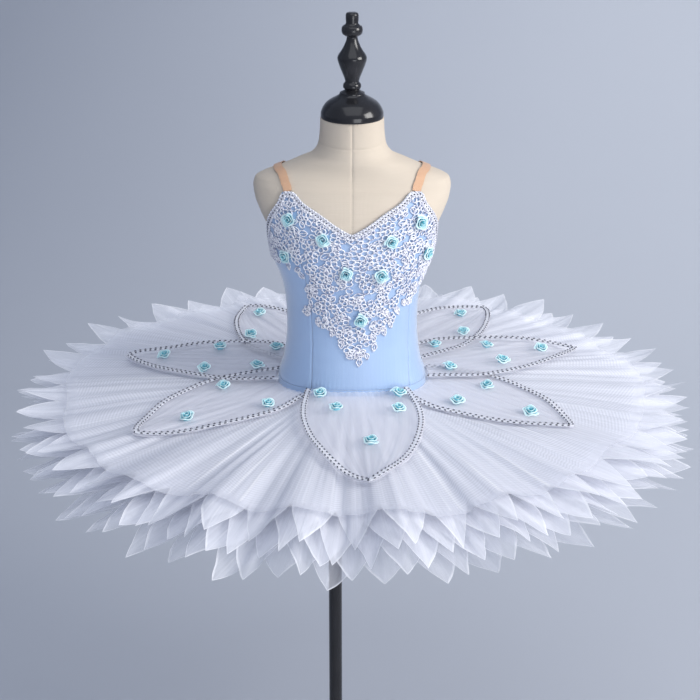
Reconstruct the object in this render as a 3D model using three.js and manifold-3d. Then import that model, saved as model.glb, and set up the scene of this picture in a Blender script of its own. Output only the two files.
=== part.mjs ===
// A child's pancake tutu on its dress form and stand, in millimetres, +Z up.
// The dress faces -Y. The origin is on the floor, below the middle of the form.
// A point on the body is given by its lead, in degrees round from the centre front towards +X,
// and its rise, in millimetres over the hip line.

import * as THREE from 'three';
import Module from 'manifold-3d';

const wasm = await Module();
wasm.setup();

// Driving dimensions

const HIP_HEIGHT = 695;
const CLOTH_WALL = 1.4;
const CLOTH_GAP = 1.2;
const SEAM_GAP = 0.3;
const CLOTH_OUTSIDE = CLOTH_GAP + CLOTH_WALL;

const FORM_BOTTOM = -106;
const FORM_COLUMNS = 24;
const DOME_TOP = -60;
const DOME_DEPTH = 52;

const POLE_OFFSET = -24;
const POLE_RADIUS = 9.5;
const POLE_HEAD_RADIUS = 14;
const POLE_HEAD_HEIGHT = 4;
const POLE_HEAD_BEVEL = 1;
const BASE_RADIUS = 145;
const BASE_BOSS_TOP = 26;
const TURNED_SIDES = 16;

const HEM_RISE = 20;
const HEM_FRONT_LIFT = 6;
const SIDE_SEAM_LEAD = 95;

const GUSSET_RISE = -96;
const GUSSET_LEFT = -9;
const GUSSET_RIGHT = 24;

const STRAP_WIDTH = 11.5;
const STRAP_WALL = 1.2;
const STRAP_STATIONS = 24;
const RIBBON_STEP = 0.002;

const BRAID_WIDTH = 6;
const BRAID_WALL = 1.0;
const BRAID_INSET = 0.8;
const BRAID_GAP = 0.6;

const LACE_BASE = CLOTH_OUTSIDE + 0.5;
const LACE_WALL = 1.2;
const LACE_PITCH = 23;
const LACE_MM_PER_DEGREE = 1.667;
const LACE_TIP_HALF = 3.2;
const LACE_NOTCH = 10.2;
const LACE_TRIM = 5;
const LACE_LOWEST = 82;
const LACE_SHIFT = 4;
const LACE_ROWS = 13;
const LACE_COLUMNS = 11;

const NET_LAYERS = 6;
const NET_COLUMNS = 60;
const NET_WALL = 1.1;
const NET_TOP_DROP = 8;
const NET_ROOT_STEP = 7.5;
const NET_RIM_STEP = 12;
const NET_REACH = 472;
const NET_PLEAT = 4.5;
const NET_BODY_GAP = 0.3;
const TOP_REACH_SIDE = 402;
const TOP_REACH_FRONT = 426;
const DAG_LENGTH = 52;
const DAG_UNEVEN = 8;
const DAG_ROOT = 64;
const FLUTE_FRONT = 11;
const FLUTE_BACK = 4;
const NET_KNEE = 340;
const NET_KNEE_SHARE = 0.85;
const FLUTE_LENGTH = 105;
const FLUTE_PERIOD = 24;
const FRONT_FADE = 1.5;
const FRONT_EXTRA = 6;
const LAYER_CUT_FRONT = 10.5;
const LAYER_CUT_SIDE = 2;
const LAYER_CUT_BACK = -1;

const PETAL_LENGTH = 257;
const PETAL_HALF = 92;
const PETAL_BASE_SHARE = 0.8;
const PETAL_BASE_END = 0.35;
const PETAL_ROUND = 0.75;
const PETAL_GATHER = 3;
const PETAL_WALL = 1.0;
const PETAL_CLEAR = 0.5;
const PETAL_STEP = 2.6;
const PETAL_BODY_GAP = 4.5;
const PETAL_FRONT_GAP = 2.2;
const PETAL_BRAID_WIDTH = 6;
const PETAL_BRAID_TIP = 9.6;
const PETAL_BRAID_END = 0.995;

const ROSETTE_SIDES = 6;
const ROSETTE_SINK = 0.4;
const ROSETTE_SEAT = LACE_BASE + LACE_WALL + 0.3;

// Finishes

const COLOURS = {
  linen: { color: 0xd8ccb8, roughness: 0.85, metalness: 0 },
  blackGloss: { color: 0x141416, roughness: 0.2, metalness: 0 },
  blueSatin: { color: 0x9dbde8, roughness: 0.45, metalness: 0 },
  elastic: { color: 0xe1aa7d, roughness: 0.7, metalness: 0 },
  silver: { color: 0xb9bcc4, roughness: 0.35, metalness: 0.7 },
  lace: { color: 0xe6e6f0, roughness: 0.55, metalness: 0 },
  net: { color: 0xdfe2f0, roughness: 0.7, metalness: 0 },
  petal: { color: 0xd7d5e1, roughness: 0.6, metalness: 0 },
  rosette: { color: 0x7fd6e6, roughness: 0.4, metalness: 0 },
};

// Tables

// The form's own surface: half its width, and how far its front and back reach from the axis.
const BODY = [
  { rise: -60, half: 99, front: 80, back: 88, square: 2.0 },
  { rise: -30, half: 102.5, front: 84, back: 91, square: 2.1 },
  { rise: 0, half: 101.5, front: 85, back: 91, square: 2.2 },
  { rise: 20, half: 98.5, front: 84, back: 88, square: 2.25 },
  { rise: 44, half: 91.4, front: 80.5, back: 79, square: 2.3 },
  { rise: 65, half: 88.2, front: 77, back: 73, square: 2.3 },
  { rise: 87, half: 86.3, front: 74.5, back: 70, square: 2.3 },
  { rise: 108, half: 86.3, front: 74, back: 70, square: 2.3 },
  { rise: 130, half: 87.4, front: 75, back: 72, square: 2.3 },
  { rise: 153, half: 91, front: 77, back: 75, square: 2.3 },
  { rise: 173, half: 96.8, front: 79, back: 78, square: 2.3 },
  { rise: 193, half: 104.4, front: 80, back: 80, square: 2.3 },
  { rise: 210, half: 108, front: 79.5, back: 80, square: 2.3 },
  { rise: 235, half: 114.1, front: 76, back: 79, square: 2.3 },
  { rise: 255, half: 122.8, front: 71, back: 76, square: 2.25 },
  { rise: 275, half: 129.7, front: 64, back: 70, square: 2.2 },
  { rise: 290, half: 131.5, front: 57, back: 62, square: 2.15 },
  { rise: 299, half: 129, front: 51, back: 55, square: 2.1 },
  { rise: 305, half: 119.5, front: 48, back: 50, square: 2.1 },
  { rise: 311, half: 103.5, front: 46.5, back: 47, square: 2.05 },
  { rise: 317, half: 88, front: 46, back: 45, square: 2.0 },
  { rise: 323, half: 74.2, front: 46, back: 43, square: 2.0 },
  { rise: 332, half: 53.6, front: 44.5, back: 41.5, square: 2.0 },
  { rise: 344, half: 45.3, front: 41.5, back: 40, square: 2.0 },
  { rise: 361.5, half: 42.8, front: 40, back: 40, square: 2.0 },
  { rise: 379, half: 42, front: 39.5, back: 39.5, square: 2.0 },
];

// The bodice's top edge, the same on both sides: neckline, strap seat, armhole and back.
const TOP_EDGE = [
  { lead: 0, rise: 240 },
  { lead: 8, rise: 251 },
  { lead: 17, rise: 265 },
  { lead: 27, rise: 278 },
  { lead: 34.5, rise: 290 },
  { lead: 41, rise: 290 },
  { lead: 46, rise: 276 },
  { lead: 58, rise: 258 },
  { lead: 71, rise: 238 },
  { lead: 82, rise: 211 },
  { lead: 95, rise: 190 },
  { lead: 110, rise: 196 },
  { lead: 125, rise: 214 },
  { lead: 139, rise: 232 },
  { lead: 146, rise: 232 },
  { lead: 160, rise: 225 },
  { lead: 180, rise: 221 },
];

// The two princess seams, up the bodice from its hem (0) to its top edge (1).
const PRINCESS_SEAMS = [
  { up: 0, left: -31, right: 49 },
  { up: 0.15, left: -33.5, right: 55 },
  { up: 0.4, left: -35, right: 57 },
  { up: 0.7, left: -36, right: 50 },
  { up: 1, left: -37.5, right: 37.5 },
];

// The four bodice panels, each from one seam to the next round the body.
const BODICE_PANELS = [
  { name: 'bodice_centre_front', from: 'left', to: 'right', columns: 10 },
  { name: 'bodice_side_front_left', from: -SIDE_SEAM_LEAD, to: 'left', columns: 7 },
  { name: 'bodice_side_front_right', from: 'right', to: SIDE_SEAM_LEAD, columns: 6 },
  { name: 'bodice_back', from: SIDE_SEAM_LEAD, to: 360 - SIDE_SEAM_LEAD, columns: 16 },
];

// The bodice's rows below the arm, by rise; above them they share what is left to the top edge.
const BODICE_RISES = [44, 65, 87, 108, 130, 153, 173];
const BODICE_UPPER_ROWS = 5;

// The brief's lower edge: leg openings on both sides of the gusset, which passes beside the pole.
const LEG_EDGE = [
  { lead: -95, rise: -36 },
  { lead: -75, rise: -42 },
  { lead: -55, rise: -56 },
  { lead: -35, rise: -76 },
  { lead: -20, rise: -91 },
  { lead: -9, rise: -96 },
  { lead: 24, rise: -96 },
  { lead: 38, rise: -86 },
  { lead: 56, rise: -63 },
  { lead: 75, rise: -43 },
  { lead: 95, rise: -36 },
  { lead: 118, rise: -58 },
  { lead: 138, rise: -82 },
  { lead: 156, rise: -96 },
  { lead: 189, rise: -96 },
  { lead: 206, rise: -86 },
  { lead: 232, rise: -60 },
  { lead: 265, rise: -36 },
];
const BRIEF_RISES = [0, -30, -60, -80, GUSSET_RISE];
const BRIEF_FRONT_LEADS = [-95, -84, -72, -60, -48, -35, -22, -9, 2, 13, 24, 36, 48, 60, 72, 84, 95];
const BRIEF_BACK_LEADS = [95, 106, 118, 130, 143, 156, 167, 178, 189, 201, 214, 227, 240, 253, 265];

// The gusset's rows from front to back and its columns from left to right, as shares.
const GUSSET_ROWS = [0, 0.08, 0.2, 0.35, 0.5, 0.65, 0.8, 0.92, 1];
const GUSSET_COLUMNS = [0, 0.25, 0.5, 0.75, 1];

// A strap's middle line from the front of the bodice over the shoulder to its back.
const STRAP_PATH = [
  { along: 0, lead: 37.8, rise: 290.3 },
  { along: 0.06, lead: 40, rise: 297 },
  { along: 0.12, lead: 44, rise: 302.5 },
  { along: 0.2, lead: 52, rise: 307.5 },
  { along: 0.29, lead: 66, rise: 311.2 },
  { along: 0.39, lead: 88, rise: 313 },
  { along: 0.48, lead: 110, rise: 311.5 },
  { along: 0.56, lead: 126, rise: 307 },
  { along: 0.63, lead: 136, rise: 300 },
  { along: 0.71, lead: 141, rise: 288 },
  { along: 0.81, lead: 143, rise: 270 },
  { along: 0.9, lead: 143, rise: 251 },
  { along: 1, lead: 142.5, rise: 232.3 },
];

// The braids along the top edge, each with its run of leads and its count of steps.
const EDGE_BRAIDS = [
  { name: 'braid_neck_front', from: 35, to: -35, count: 24 },
  { name: 'braid_neck_back', from: 213, to: 147, count: 14 },
  { name: 'braid_armhole_left', from: -46, to: -138, count: 22 },
  { name: 'braid_armhole_right', from: 138, to: 46, count: 22 },
];

// The lower outline of the lace on the front.
const LACE_LOWER = [
  { lead: -100, rise: 182 },
  { lead: -58, rise: 184 },
  { lead: -50, rise: 134 },
  { lead: -36, rise: 126 },
  { lead: -25, rise: 118 },
  { lead: -8, rise: 98 },
  { lead: -2, rise: 66 },
  { lead: 8, rise: 66 },
  { lead: 24, rise: 101 },
  { lead: 34, rise: 114 },
  { lead: 49, rise: 140 },
  { lead: 64, rise: 172 },
  { lead: 81, rise: 182 },
  { lead: 100, rise: 184 },
];

// The upper outline of the lace, just under the braids; the same on both sides.
const LACE_UPPER = [
  { lead: 0, rise: 228 },
  { lead: 8, rise: 239 },
  { lead: 17, rise: 253 },
  { lead: 27, rise: 266 },
  { lead: 34, rise: 274 },
  { lead: 41, rise: 269 },
  { lead: 46, rise: 259 },
  { lead: 58, rise: 244 },
  { lead: 71, rise: 222 },
  { lead: 82, rise: 195 },
  { lead: 95, rise: 177 },
];

// A wound ribbon rose as a low bud, ring by ring out from the cloth.
const ROSETTE_RINGS = [
  { out: 0, radius: 7.4, twist: 0 },
  { out: 3.4, radius: 8.8, twist: 14 },
  { out: 8.2, radius: 4.8, twist: 34 },
];

// Where each bodice rosette sits, and how far it is pressed into the lace.
const BODICE_ROSETTES = [
  { lead: -38, rise: 256, press: 0 },
  { lead: -49, rise: 206, press: 0 },
  { lead: -16, rise: 234, press: 1.6 },
  { lead: -3, rise: 190, press: 0 },
  { lead: 18, rise: 188, press: 0 },
  { lead: 23, rise: 230, press: 0 },
  { lead: 43, rise: 252, press: 0 },
  { lead: 60, rise: 208, press: 0 },
  { lead: 5, rise: 124, press: 0 },
];

// The seven petals on the skirt: where each tip lies, its heading out from the body, in degrees
// round from +X, its place in the stack, its root's gap from the body, and its rosettes.
const PETALS = [
  {
    name: 'front', tipX: 21, tipY: -337, heading: -88, level: 3, gap: PETAL_FRONT_GAP,
    rosettes: [[-21, -140], [24, -237], [60, -140], [-43, -95], [62, -91]],
  },
  {
    name: 'front_left', tipX: -283, tipY: -192, heading: -137, level: 1, gap: PETAL_BODY_GAP,
    rosettes: [[-175, -42], [-216, -147], [-112, -113]],
  },
  {
    name: 'left', tipX: -325, tipY: 89, heading: 171, level: 2, gap: PETAL_BODY_GAP,
    rosettes: [[-267, 79], [-206, 25], [-190, 107], [-133, 26], [-109, 99]],
  },
  {
    name: 'back_left', tipX: -165, tipY: 318, heading: 117, level: 0, gap: PETAL_BODY_GAP,
    rosettes: [[-141, 274], [-149, 169]],
  },
  {
    name: 'back_right', tipX: 206, tipY: 316, heading: 55, level: 1, gap: PETAL_BODY_GAP,
    rosettes: [[166, 270], [164, 178]],
  },
  {
    name: 'right', tipX: 329, tipY: 130, heading: 18, level: 2, gap: PETAL_BODY_GAP,
    rosettes: [[273, 115], [212, 55], [194, 115], [120, 111], [136, 21]],
  },
  {
    name: 'front_right', tipX: 290, tipY: -164, heading: -40, level: 0, gap: PETAL_BODY_GAP,
    rosettes: [[236, -120], [140, -96], [185, -35]],
  },
];
const PETAL_ROWS = [0, 0.15, 0.38, 0.6, 0.8, 0.93, 1];
const PETAL_COLUMNS = [-1, -0.55, 0, 0.55, 1];
const PETAL_BRAID_ROWS = [0, 0.2, 0.4, 0.58, 0.73, 0.86, 0.95, 0.99];

// The turned cap and finial, from the neck up.
const CAP_PROFILE = [
  { radius: 41, rise: 379 },
  { radius: 40.3, rise: 388 },
  { radius: 35, rise: 398.7 },
  { radius: 22, rise: 406.5 },
  { radius: 16.4, rise: 410 },
  { radius: 16.4, rise: 412 },
];
const FINIAL_PROFILE = [
  { radius: 16.4, rise: 412 },
  { radius: 9.5, rise: 416 },
  { radius: 11.6, rise: 419 },
  { radius: 11.6, rise: 423 },
  { radius: 9.4, rise: 427 },
  { radius: 13, rise: 438 },
  { radius: 17.4, rise: 448.7 },
  { radius: 19, rise: 455.3 },
  { radius: 19.1, rise: 459.2 },
  { radius: 7.2, rise: 484 },
  { radius: 13.5, rise: 490 },
  { radius: 13.5, rise: 498 },
  { radius: 8.3, rise: 502 },
  { radius: 8.3, rise: 516.7 },
];
const BASE_PROFILE = [
  { radius: BASE_RADIUS, height: 0 },
  { radius: BASE_RADIUS, height: 6 },
  { radius: 136, height: 11 },
  { radius: 60, height: 16 },
  { radius: 24, height: 20 },
  { radius: 18, height: BASE_BOSS_TOP },
];

// Sums and curves

const { clamp, degToRad, lerp, smoothstep } = THREE.MathUtils;

// The value of a table's column at a place between its rows, on a smooth curve without overshoot.
function curveAt(table, across, column, place) {
  const last = table.length - 1;
  const at = clamp(place, table[0][across], table[last][across]);
  let row = 0;
  while (row < last - 1 && table[row + 1][across] <= at) row += 1;
  const slopeFrom = (index) => {
    const run = table[index + 1][across] - table[index][across];
    return (table[index + 1][column] - table[index][column]) / run;
  };
  const slopeAt = (index) => {
    if (index === 0) return slopeFrom(0);
    if (index === last) return slopeFrom(last - 1);
    const before = slopeFrom(index - 1);
    const after = slopeFrom(index);
    return before * after <= 0 ? 0 : (2 * before * after) / (before + after);
  };
  const run = table[row + 1][across] - table[row][across];
  const t = (at - table[row][across]) / run;
  const from = table[row][column];
  const to = table[row + 1][column];
  const leave = slopeAt(row) * run;
  const arrive = slopeAt(row + 1) * run;
  const t2 = t * t;
  const t3 = t2 * t;
  const blend = 3 * t2 - 2 * t3;
  return lerp(from, to, blend) + leave * (t3 - 2 * t2 + t) + arrive * (t3 - t2);
}

// The same on straight lines between the rows.
function lineAt(table, across, column, place) {
  const last = table.length - 1;
  const at = clamp(place, table[0][across], table[last][across]);
  let row = 0;
  while (row < last - 1 && table[row + 1][across] <= at) row += 1;
  const t = (at - table[row][across]) / (table[row + 1][across] - table[row][across]);
  return lerp(table[row][column], table[row + 1][column], t);
}

const signedPower = (value, power) => Math.sign(value) * Math.abs(value) ** power;

// The body

function bodySection(rise) {
  const at = Math.max(rise, DOME_TOP);
  const fall = Math.min((at - rise) / DOME_DEPTH, 1);
  const shrink = Math.sqrt(1 - fall * fall);
  return {
    half: curveAt(BODY, 'rise', 'half', at) * shrink,
    front: curveAt(BODY, 'rise', 'front', at) * shrink,
    back: curveAt(BODY, 'rise', 'back', at) * shrink,
    square: curveAt(BODY, 'rise', 'square', at),
  };
}

function bodySkin(lead, rise) {
  const section = bodySection(rise);
  const turn = degToRad(lead - 90);
  const across = signedPower(Math.cos(turn), 2 / section.square);
  const along = signedPower(Math.sin(turn), 2 / section.square);
  const depth = along < 0 ? section.front : section.back;
  return new THREE.Vector3(across * section.half, along * depth, HIP_HEIGHT + rise);
}

function bodyNormal(lead, rise) {
  const round = bodySkin(lead + 0.5, rise).sub(bodySkin(lead - 0.5, rise));
  const up = bodySkin(lead, rise + 0.5).sub(bodySkin(lead, rise - 0.5));
  return round.cross(up).normalize();
}

function bodyPoint(lead, rise, out) {
  return bodySkin(lead, rise).addScaledVector(bodyNormal(lead, rise), out);
}

// How many degrees of lead a length takes along the body's surface.
function degreesFor(length, lead, rise) {
  return length / bodySkin(lead + 0.5, rise).distanceTo(bodySkin(lead - 0.5, rise));
}

// The rounded underside of the body, by its place seen from below.
function domePoint(x, y, out) {
  const { half, front, back } = bodySection(DOME_TOP);
  const depth = y < 0 ? front : back;
  const left = Math.max(0, 1 - (x / half) ** 2 - (y / depth) ** 2);
  const drop = DOME_DEPTH * Math.sqrt(left);
  const normal = new THREE.Vector3(x / half ** 2, y / depth ** 2, -drop / DOME_DEPTH ** 2).normalize();
  return new THREE.Vector3(x, y, HIP_HEIGHT + DOME_TOP - drop).addScaledVector(normal, out);
}

const foldLead = (lead) => {
  const turned = ((lead % 360) + 360) % 360;
  return turned > 180 ? 360 - turned : turned;
};

const topEdge = (lead) => lineAt(TOP_EDGE, 'lead', 'rise', foldLead(lead));

const hemEdge = (lead) => HEM_RISE + HEM_FRONT_LIFT * Math.max(0, Math.cos(degToRad(lead))) ** 2;

// Closed solids from points

// Collects corners and triangles, merging corners that fall together.
class Solid {
  constructor() {
    this.corners = [];
    this.triangles = [];
    this.index = new Map();
  }

  corner(point) {
    const key = [point.x, point.y, point.z].map((value) => Math.round(value * 1000)).join(' ');
    if (!this.index.has(key)) {
      this.index.set(key, this.corners.length);
      this.corners.push(point.clone());
    }
    return this.index.get(key);
  }

  triangle(a, b, c) {
    const face = [this.corner(a), this.corner(b), this.corner(c)];
    if (new Set(face).size === 3) this.triangles.push(face);
  }

  quad(a, b, c, d) {
    this.triangle(a, b, c);
    this.triangle(a, c, d);
  }

  // The closed mesh with its faces pointing out.
  geometry() {
    const volume = this.triangles.reduce((sum, face) => {
      const [a, b, c] = face.map((corner) => this.corners[corner]);
      return sum + a.dot(b.clone().cross(c));
    }, 0);
    const faces = volume < 0 ? this.triangles.map(([a, b, c]) => [a, c, b]) : this.triangles;
    const geometry = new THREE.BufferGeometry();
    const positions = this.corners.flatMap((corner) => corner.toArray());
    geometry.setAttribute('position', new THREE.Float32BufferAttribute(positions, 3));
    geometry.setIndex(faces.flat());
    return geometry;
  }
}

// A wall between two grids of points, point(row, column, side), with side 1 outside and 0 inside.
function wallSolid(rows, columns, point, closed = false) {
  const solid = new Solid();
  const at = (row, column, side) => point(rows[row], columns[column % columns.length], side);
  const spans = closed ? columns.length : columns.length - 1;
  const lastRow = rows.length - 1;
  for (let column = 0; column < spans; column += 1) {
    for (let row = 0; row < lastRow; row += 1) {
      const next = column + 1;
      solid.quad(at(row, column, 1), at(row, next, 1), at(row + 1, next, 1), at(row + 1, column, 1));
      solid.quad(at(row, column, 0), at(row + 1, column, 0), at(row + 1, next, 0), at(row, next, 0));
    }
    const next = column + 1;
    solid.quad(at(0, column, 1), at(0, column, 0), at(0, next, 0), at(0, next, 1));
    solid.quad(at(lastRow, column, 1), at(lastRow, next, 1), at(lastRow, next, 0), at(lastRow, column, 0));
  }
  if (!closed) {
    for (let row = 0; row < lastRow; row += 1) {
      const end = spans;
      solid.quad(at(row, 0, 1), at(row + 1, 0, 1), at(row + 1, 0, 0), at(row, 0, 0));
      solid.quad(at(row, end, 1), at(row, end, 0), at(row + 1, end, 0), at(row + 1, end, 1));
    }
  }
  return solid.geometry();
}

// A filled solid through rings of points, with flat ends.
function ringSolid(rings) {
  const solid = new Solid();
  const sides = rings[0].length;
  for (let level = 0; level < rings.length - 1; level += 1) {
    for (let side = 0; side < sides; side += 1) {
      const next = (side + 1) % sides;
      solid.quad(rings[level][side], rings[level][next], rings[level + 1][next], rings[level + 1][side]);
    }
  }
  const top = rings[rings.length - 1];
  for (let side = 1; side < sides - 1; side += 1) {
    solid.triangle(rings[0][0], rings[0][side + 1], rings[0][side]);
    solid.triangle(top[0], top[side], top[side + 1]);
  }
  return solid.geometry();
}

// A flat strip of ribbon or braid through stations that hold its two edges, inner and outer face.
function stripSolid(stations) {
  return wallSolid([0, 1], stations, (edge, station, side) => station[edge][side]);
}

function toManifold(geometry) {
  const vertProperties = new Float32Array(geometry.attributes.position.array);
  const triVerts = new Uint32Array(geometry.index.array);
  return new wasm.Manifold(new wasm.Mesh({ numProp: 3, vertProperties, triVerts }));
}

function fromManifold(joined) {
  const mesh = joined.getMesh();
  const geometry = new THREE.BufferGeometry();
  geometry.setAttribute('position', new THREE.BufferAttribute(new Float32Array(mesh.vertProperties), 3));
  geometry.setIndex(new THREE.BufferAttribute(new Uint32Array(mesh.triVerts), 1));
  return geometry;
}

const dress = new THREE.Group();

function addPart(name, geometry, finish) {
  const mesh = new THREE.Mesh(geometry, new THREE.MeshStandardMaterial(COLOURS[finish]));
  mesh.name = name;
  dress.add(mesh);
}

// Dress form and stand

function makeForm() {
  const rises = [FORM_BOTTOM, GUSSET_RISE, -80].concat(BODY.map((row) => row.rise));
  const rings = rises.map((rise) => {
    const leads = Array.from({ length: FORM_COLUMNS }, (_, column) => (column * 360) / FORM_COLUMNS);
    return leads.map((lead) => bodySkin(lead, rise));
  });
  addPart('form_torso', ringSolid(rings), 'linen');
}

function turnedSolid(profile, centreX) {
  const turns = Array.from({ length: TURNED_SIDES }, (_, side) => (side * 2 * Math.PI) / TURNED_SIDES);
  return ringSolid(profile.map(({ radius, height }) => turns.map((turn) => (
    new THREE.Vector3(centreX + radius * Math.cos(turn), radius * Math.sin(turn), height)
  ))));
}

function makeStand() {
  const overHip = (profile) => profile.map(({ radius, rise }) => ({ radius, height: HIP_HEIGHT + rise }));
  addPart('neck_cap', turnedSolid(overHip(CAP_PROFILE), 0), 'blackGloss');
  addPart('finial', turnedSolid(overHip(FINIAL_PROFILE), 0), 'blackGloss');
  const poleTop = HIP_HEIGHT + FORM_BOTTOM;
  const headBottom = poleTop - POLE_HEAD_HEIGHT;
  const pole = [
    { radius: POLE_RADIUS, height: BASE_BOSS_TOP },
    { radius: POLE_RADIUS, height: headBottom },
    { radius: POLE_HEAD_RADIUS, height: headBottom + POLE_HEAD_BEVEL },
    { radius: POLE_HEAD_RADIUS, height: poleTop },
  ];
  addPart('stand_pole', turnedSolid(pole, POLE_OFFSET), 'blackGloss');
  addPart('stand_base', turnedSolid(BASE_PROFILE, POLE_OFFSET), 'blackGloss');
}

// Bodice

// The rise of a bodice row: by its own rise below the arm, then by shares of what is left above.
function bodiceRise(row, lead) {
  if (row === 0) return hemEdge(lead);
  const fixed = BODICE_RISES.length;
  if (row <= fixed) return BODICE_RISES[row - 1];
  const from = BODICE_RISES[fixed - 1];
  return lerp(from, topEdge(lead), (row - fixed) / BODICE_UPPER_ROWS);
}

// A seam is straight at one lead, or one of the two princess seams by its name.
const seamLead = (seam, up) => (typeof seam === 'number' ? seam : curveAt(PRINCESS_SEAMS, 'up', seam, up));

function makeBodicePanel({ name, from, to, columns }) {
  const rowCount = BODICE_RISES.length + BODICE_UPPER_ROWS;
  const rows = Array.from({ length: rowCount + 1 }, (_, row) => row);
  const shares = Array.from({ length: columns + 1 }, (_, column) => column / columns);
  const point = (row, share, side) => {
    const up = row / rowCount;
    const edges = [seamLead(from, up), seamLead(to, up)];
    const middle = (edges[0] + edges[1]) / 2;
    const inset = edges.map((edge) => degreesFor(SEAM_GAP / 2, edge, bodiceRise(row, middle)));
    const lead = lerp(edges[0] + inset[0], edges[1] - inset[1], share);
    return bodyPoint(lead, bodiceRise(row, lead), side ? CLOTH_OUTSIDE : CLOTH_GAP);
  };
  addPart(name, wallSolid(rows, shares, point), 'blueSatin');
}

// Brief

function makeBriefPanel(name, leads) {
  const rows = Array.from({ length: BRIEF_RISES.length + 1 }, (_, row) => row);
  const middle = (leads[0] + leads[leads.length - 1]) / 2;
  const point = (row, lead, side) => {
    const top = hemEdge(lead) - SEAM_GAP;
    const rise = row === 0 ? top : Math.max(BRIEF_RISES[row - 1], lineAt(LEG_EDGE, 'lead', 'rise', lead));
    const atSeam = lead === leads[0] || lead === leads[leads.length - 1];
    const inset = atSeam ? Math.sign(middle - lead) * degreesFor(SEAM_GAP / 2, lead, rise) : 0;
    return bodyPoint(lead + inset, rise, side ? CLOTH_OUTSIDE : CLOTH_GAP);
  };
  addPart(name, wallSolid(rows, leads, point), 'blueSatin');
}

function makeGusset() {
  const edge = bodySection(GUSSET_RISE - SEAM_GAP);
  const shareOfHalf = (lead) => Math.sin(degToRad(lead));
  const point = (row, column, side) => {
    const share = lerp(shareOfHalf(GUSSET_LEFT), shareOfHalf(GUSSET_RIGHT), column);
    const reach = Math.sqrt(1 - share ** 2);
    const y = lerp(-edge.front * reach, edge.back * reach, row);
    return domePoint(share * edge.half, y, side ? CLOTH_OUTSIDE : CLOTH_GAP);
  };
  addPart('brief_gusset', wallSolid(GUSSET_ROWS, GUSSET_COLUMNS, point), 'blueSatin');
}

function makeBrief() {
  makeBriefPanel('brief_front', BRIEF_FRONT_LEADS);
  makeBriefPanel('brief_back', BRIEF_BACK_LEADS);
  makeGusset();
}

// Straps and braids

// The stations of a ribbon along a path on the body, path(share) giving its lead and rise.
// Its edges lie at the two distances from the path, to the left of its run seen from outside.
function bodyRibbon(path, count, edges, low, high) {
  return Array.from({ length: count + 1 }, (_, station) => {
    const share = station / count;
    const here = path(share);
    const before = path(Math.max(0, share - RIBBON_STEP));
    const after = path(Math.min(1, share + RIBBON_STEP));
    const normal = bodyNormal(here.lead, here.rise);
    const run = bodySkin(after.lead, after.rise).sub(bodySkin(before.lead, before.rise)).normalize();
    const aside = normal.clone().cross(run).normalize();
    return edges.map((distance) => [low, high].map((out) => bodyPoint(here.lead, here.rise, out)
      .addScaledVector(aside, distance)));
  });
}

function makeStraps() {
  for (const [name, side] of [['strap_left', -1], ['strap_right', 1]]) {
    const path = (share) => ({
      lead: side * curveAt(STRAP_PATH, 'along', 'lead', share),
      rise: curveAt(STRAP_PATH, 'along', 'rise', share),
    });
    const half = STRAP_WIDTH / 2;
    const stations = bodyRibbon(path, STRAP_STATIONS, [-half, half], CLOTH_GAP, CLOTH_GAP + STRAP_WALL);
    addPart(name, stripSolid(stations), 'elastic');
  }
}

function makeEdgeBraids() {
  const low = CLOTH_OUTSIDE + BRAID_GAP;
  for (const { name, from, to, count } of EDGE_BRAIDS) {
    const path = (share) => {
      const lead = lerp(from, to, share);
      return { lead, rise: topEdge(lead) };
    };
    const edges = [BRAID_INSET, BRAID_INSET + BRAID_WIDTH];
    addPart(name, stripSolid(bodyRibbon(path, count, edges, low, low + BRAID_WALL)), 'silver');
  }
}

// Lace applique

// One four-petalled motif: its corners round the middle, in flat millimetres.
function laceMotif(centre) {
  const corners = [];
  for (let tip = 0; tip < 4; tip += 1) {
    const towards = degToRad(tip * 90 + 45);
    const notch = degToRad(tip * 90 + 90);
    const middle = [Math.cos(towards), Math.sin(towards)];
    for (const side of [-1, 1]) {
      corners.push([
        centre[0] + (LACE_PITCH / 2) * middle[0] - side * LACE_TIP_HALF * middle[1],
        centre[1] + (LACE_PITCH / 2) * middle[1] + side * LACE_TIP_HALF * middle[0],
      ]);
    }
    corners.push([centre[0] + LACE_NOTCH * Math.cos(notch), centre[1] + LACE_NOTCH * Math.sin(notch)]);
  }
  return corners;
}

const laceLead = (across) => across / LACE_MM_PER_DEGREE;
const laceLimit = (across) => lineAt(LACE_UPPER, 'lead', 'rise', foldLead(laceLead(across)));

// A motif's place holds lace where the whole motif lies between the two outlines.
function holdsLace(centre) {
  const lead = laceLead(centre[0]);
  const lowest = lineAt(LACE_LOWER, 'lead', 'rise', lead) + LACE_PITCH / 4;
  if (Math.abs(lead) > SIDE_SEAM_LEAD || centre[1] < lowest) return false;
  return laceMotif(centre).every(([across, rise]) => rise < laceLimit(across) + LACE_TRIM);
}

function lacePlaces() {
  const step = LACE_PITCH * Math.SQRT1_2;
  const places = [];
  for (let row = 0; row < LACE_ROWS; row += 1) {
    for (let column = -LACE_COLUMNS; column <= LACE_COLUMNS; column += 1) {
      const centre = [column * step + LACE_SHIFT, LACE_LOWEST + row * step];
      if ((row + column) % 2 === 0 && holdsLace(centre)) places.push(centre);
    }
  }
  return places;
}

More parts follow.
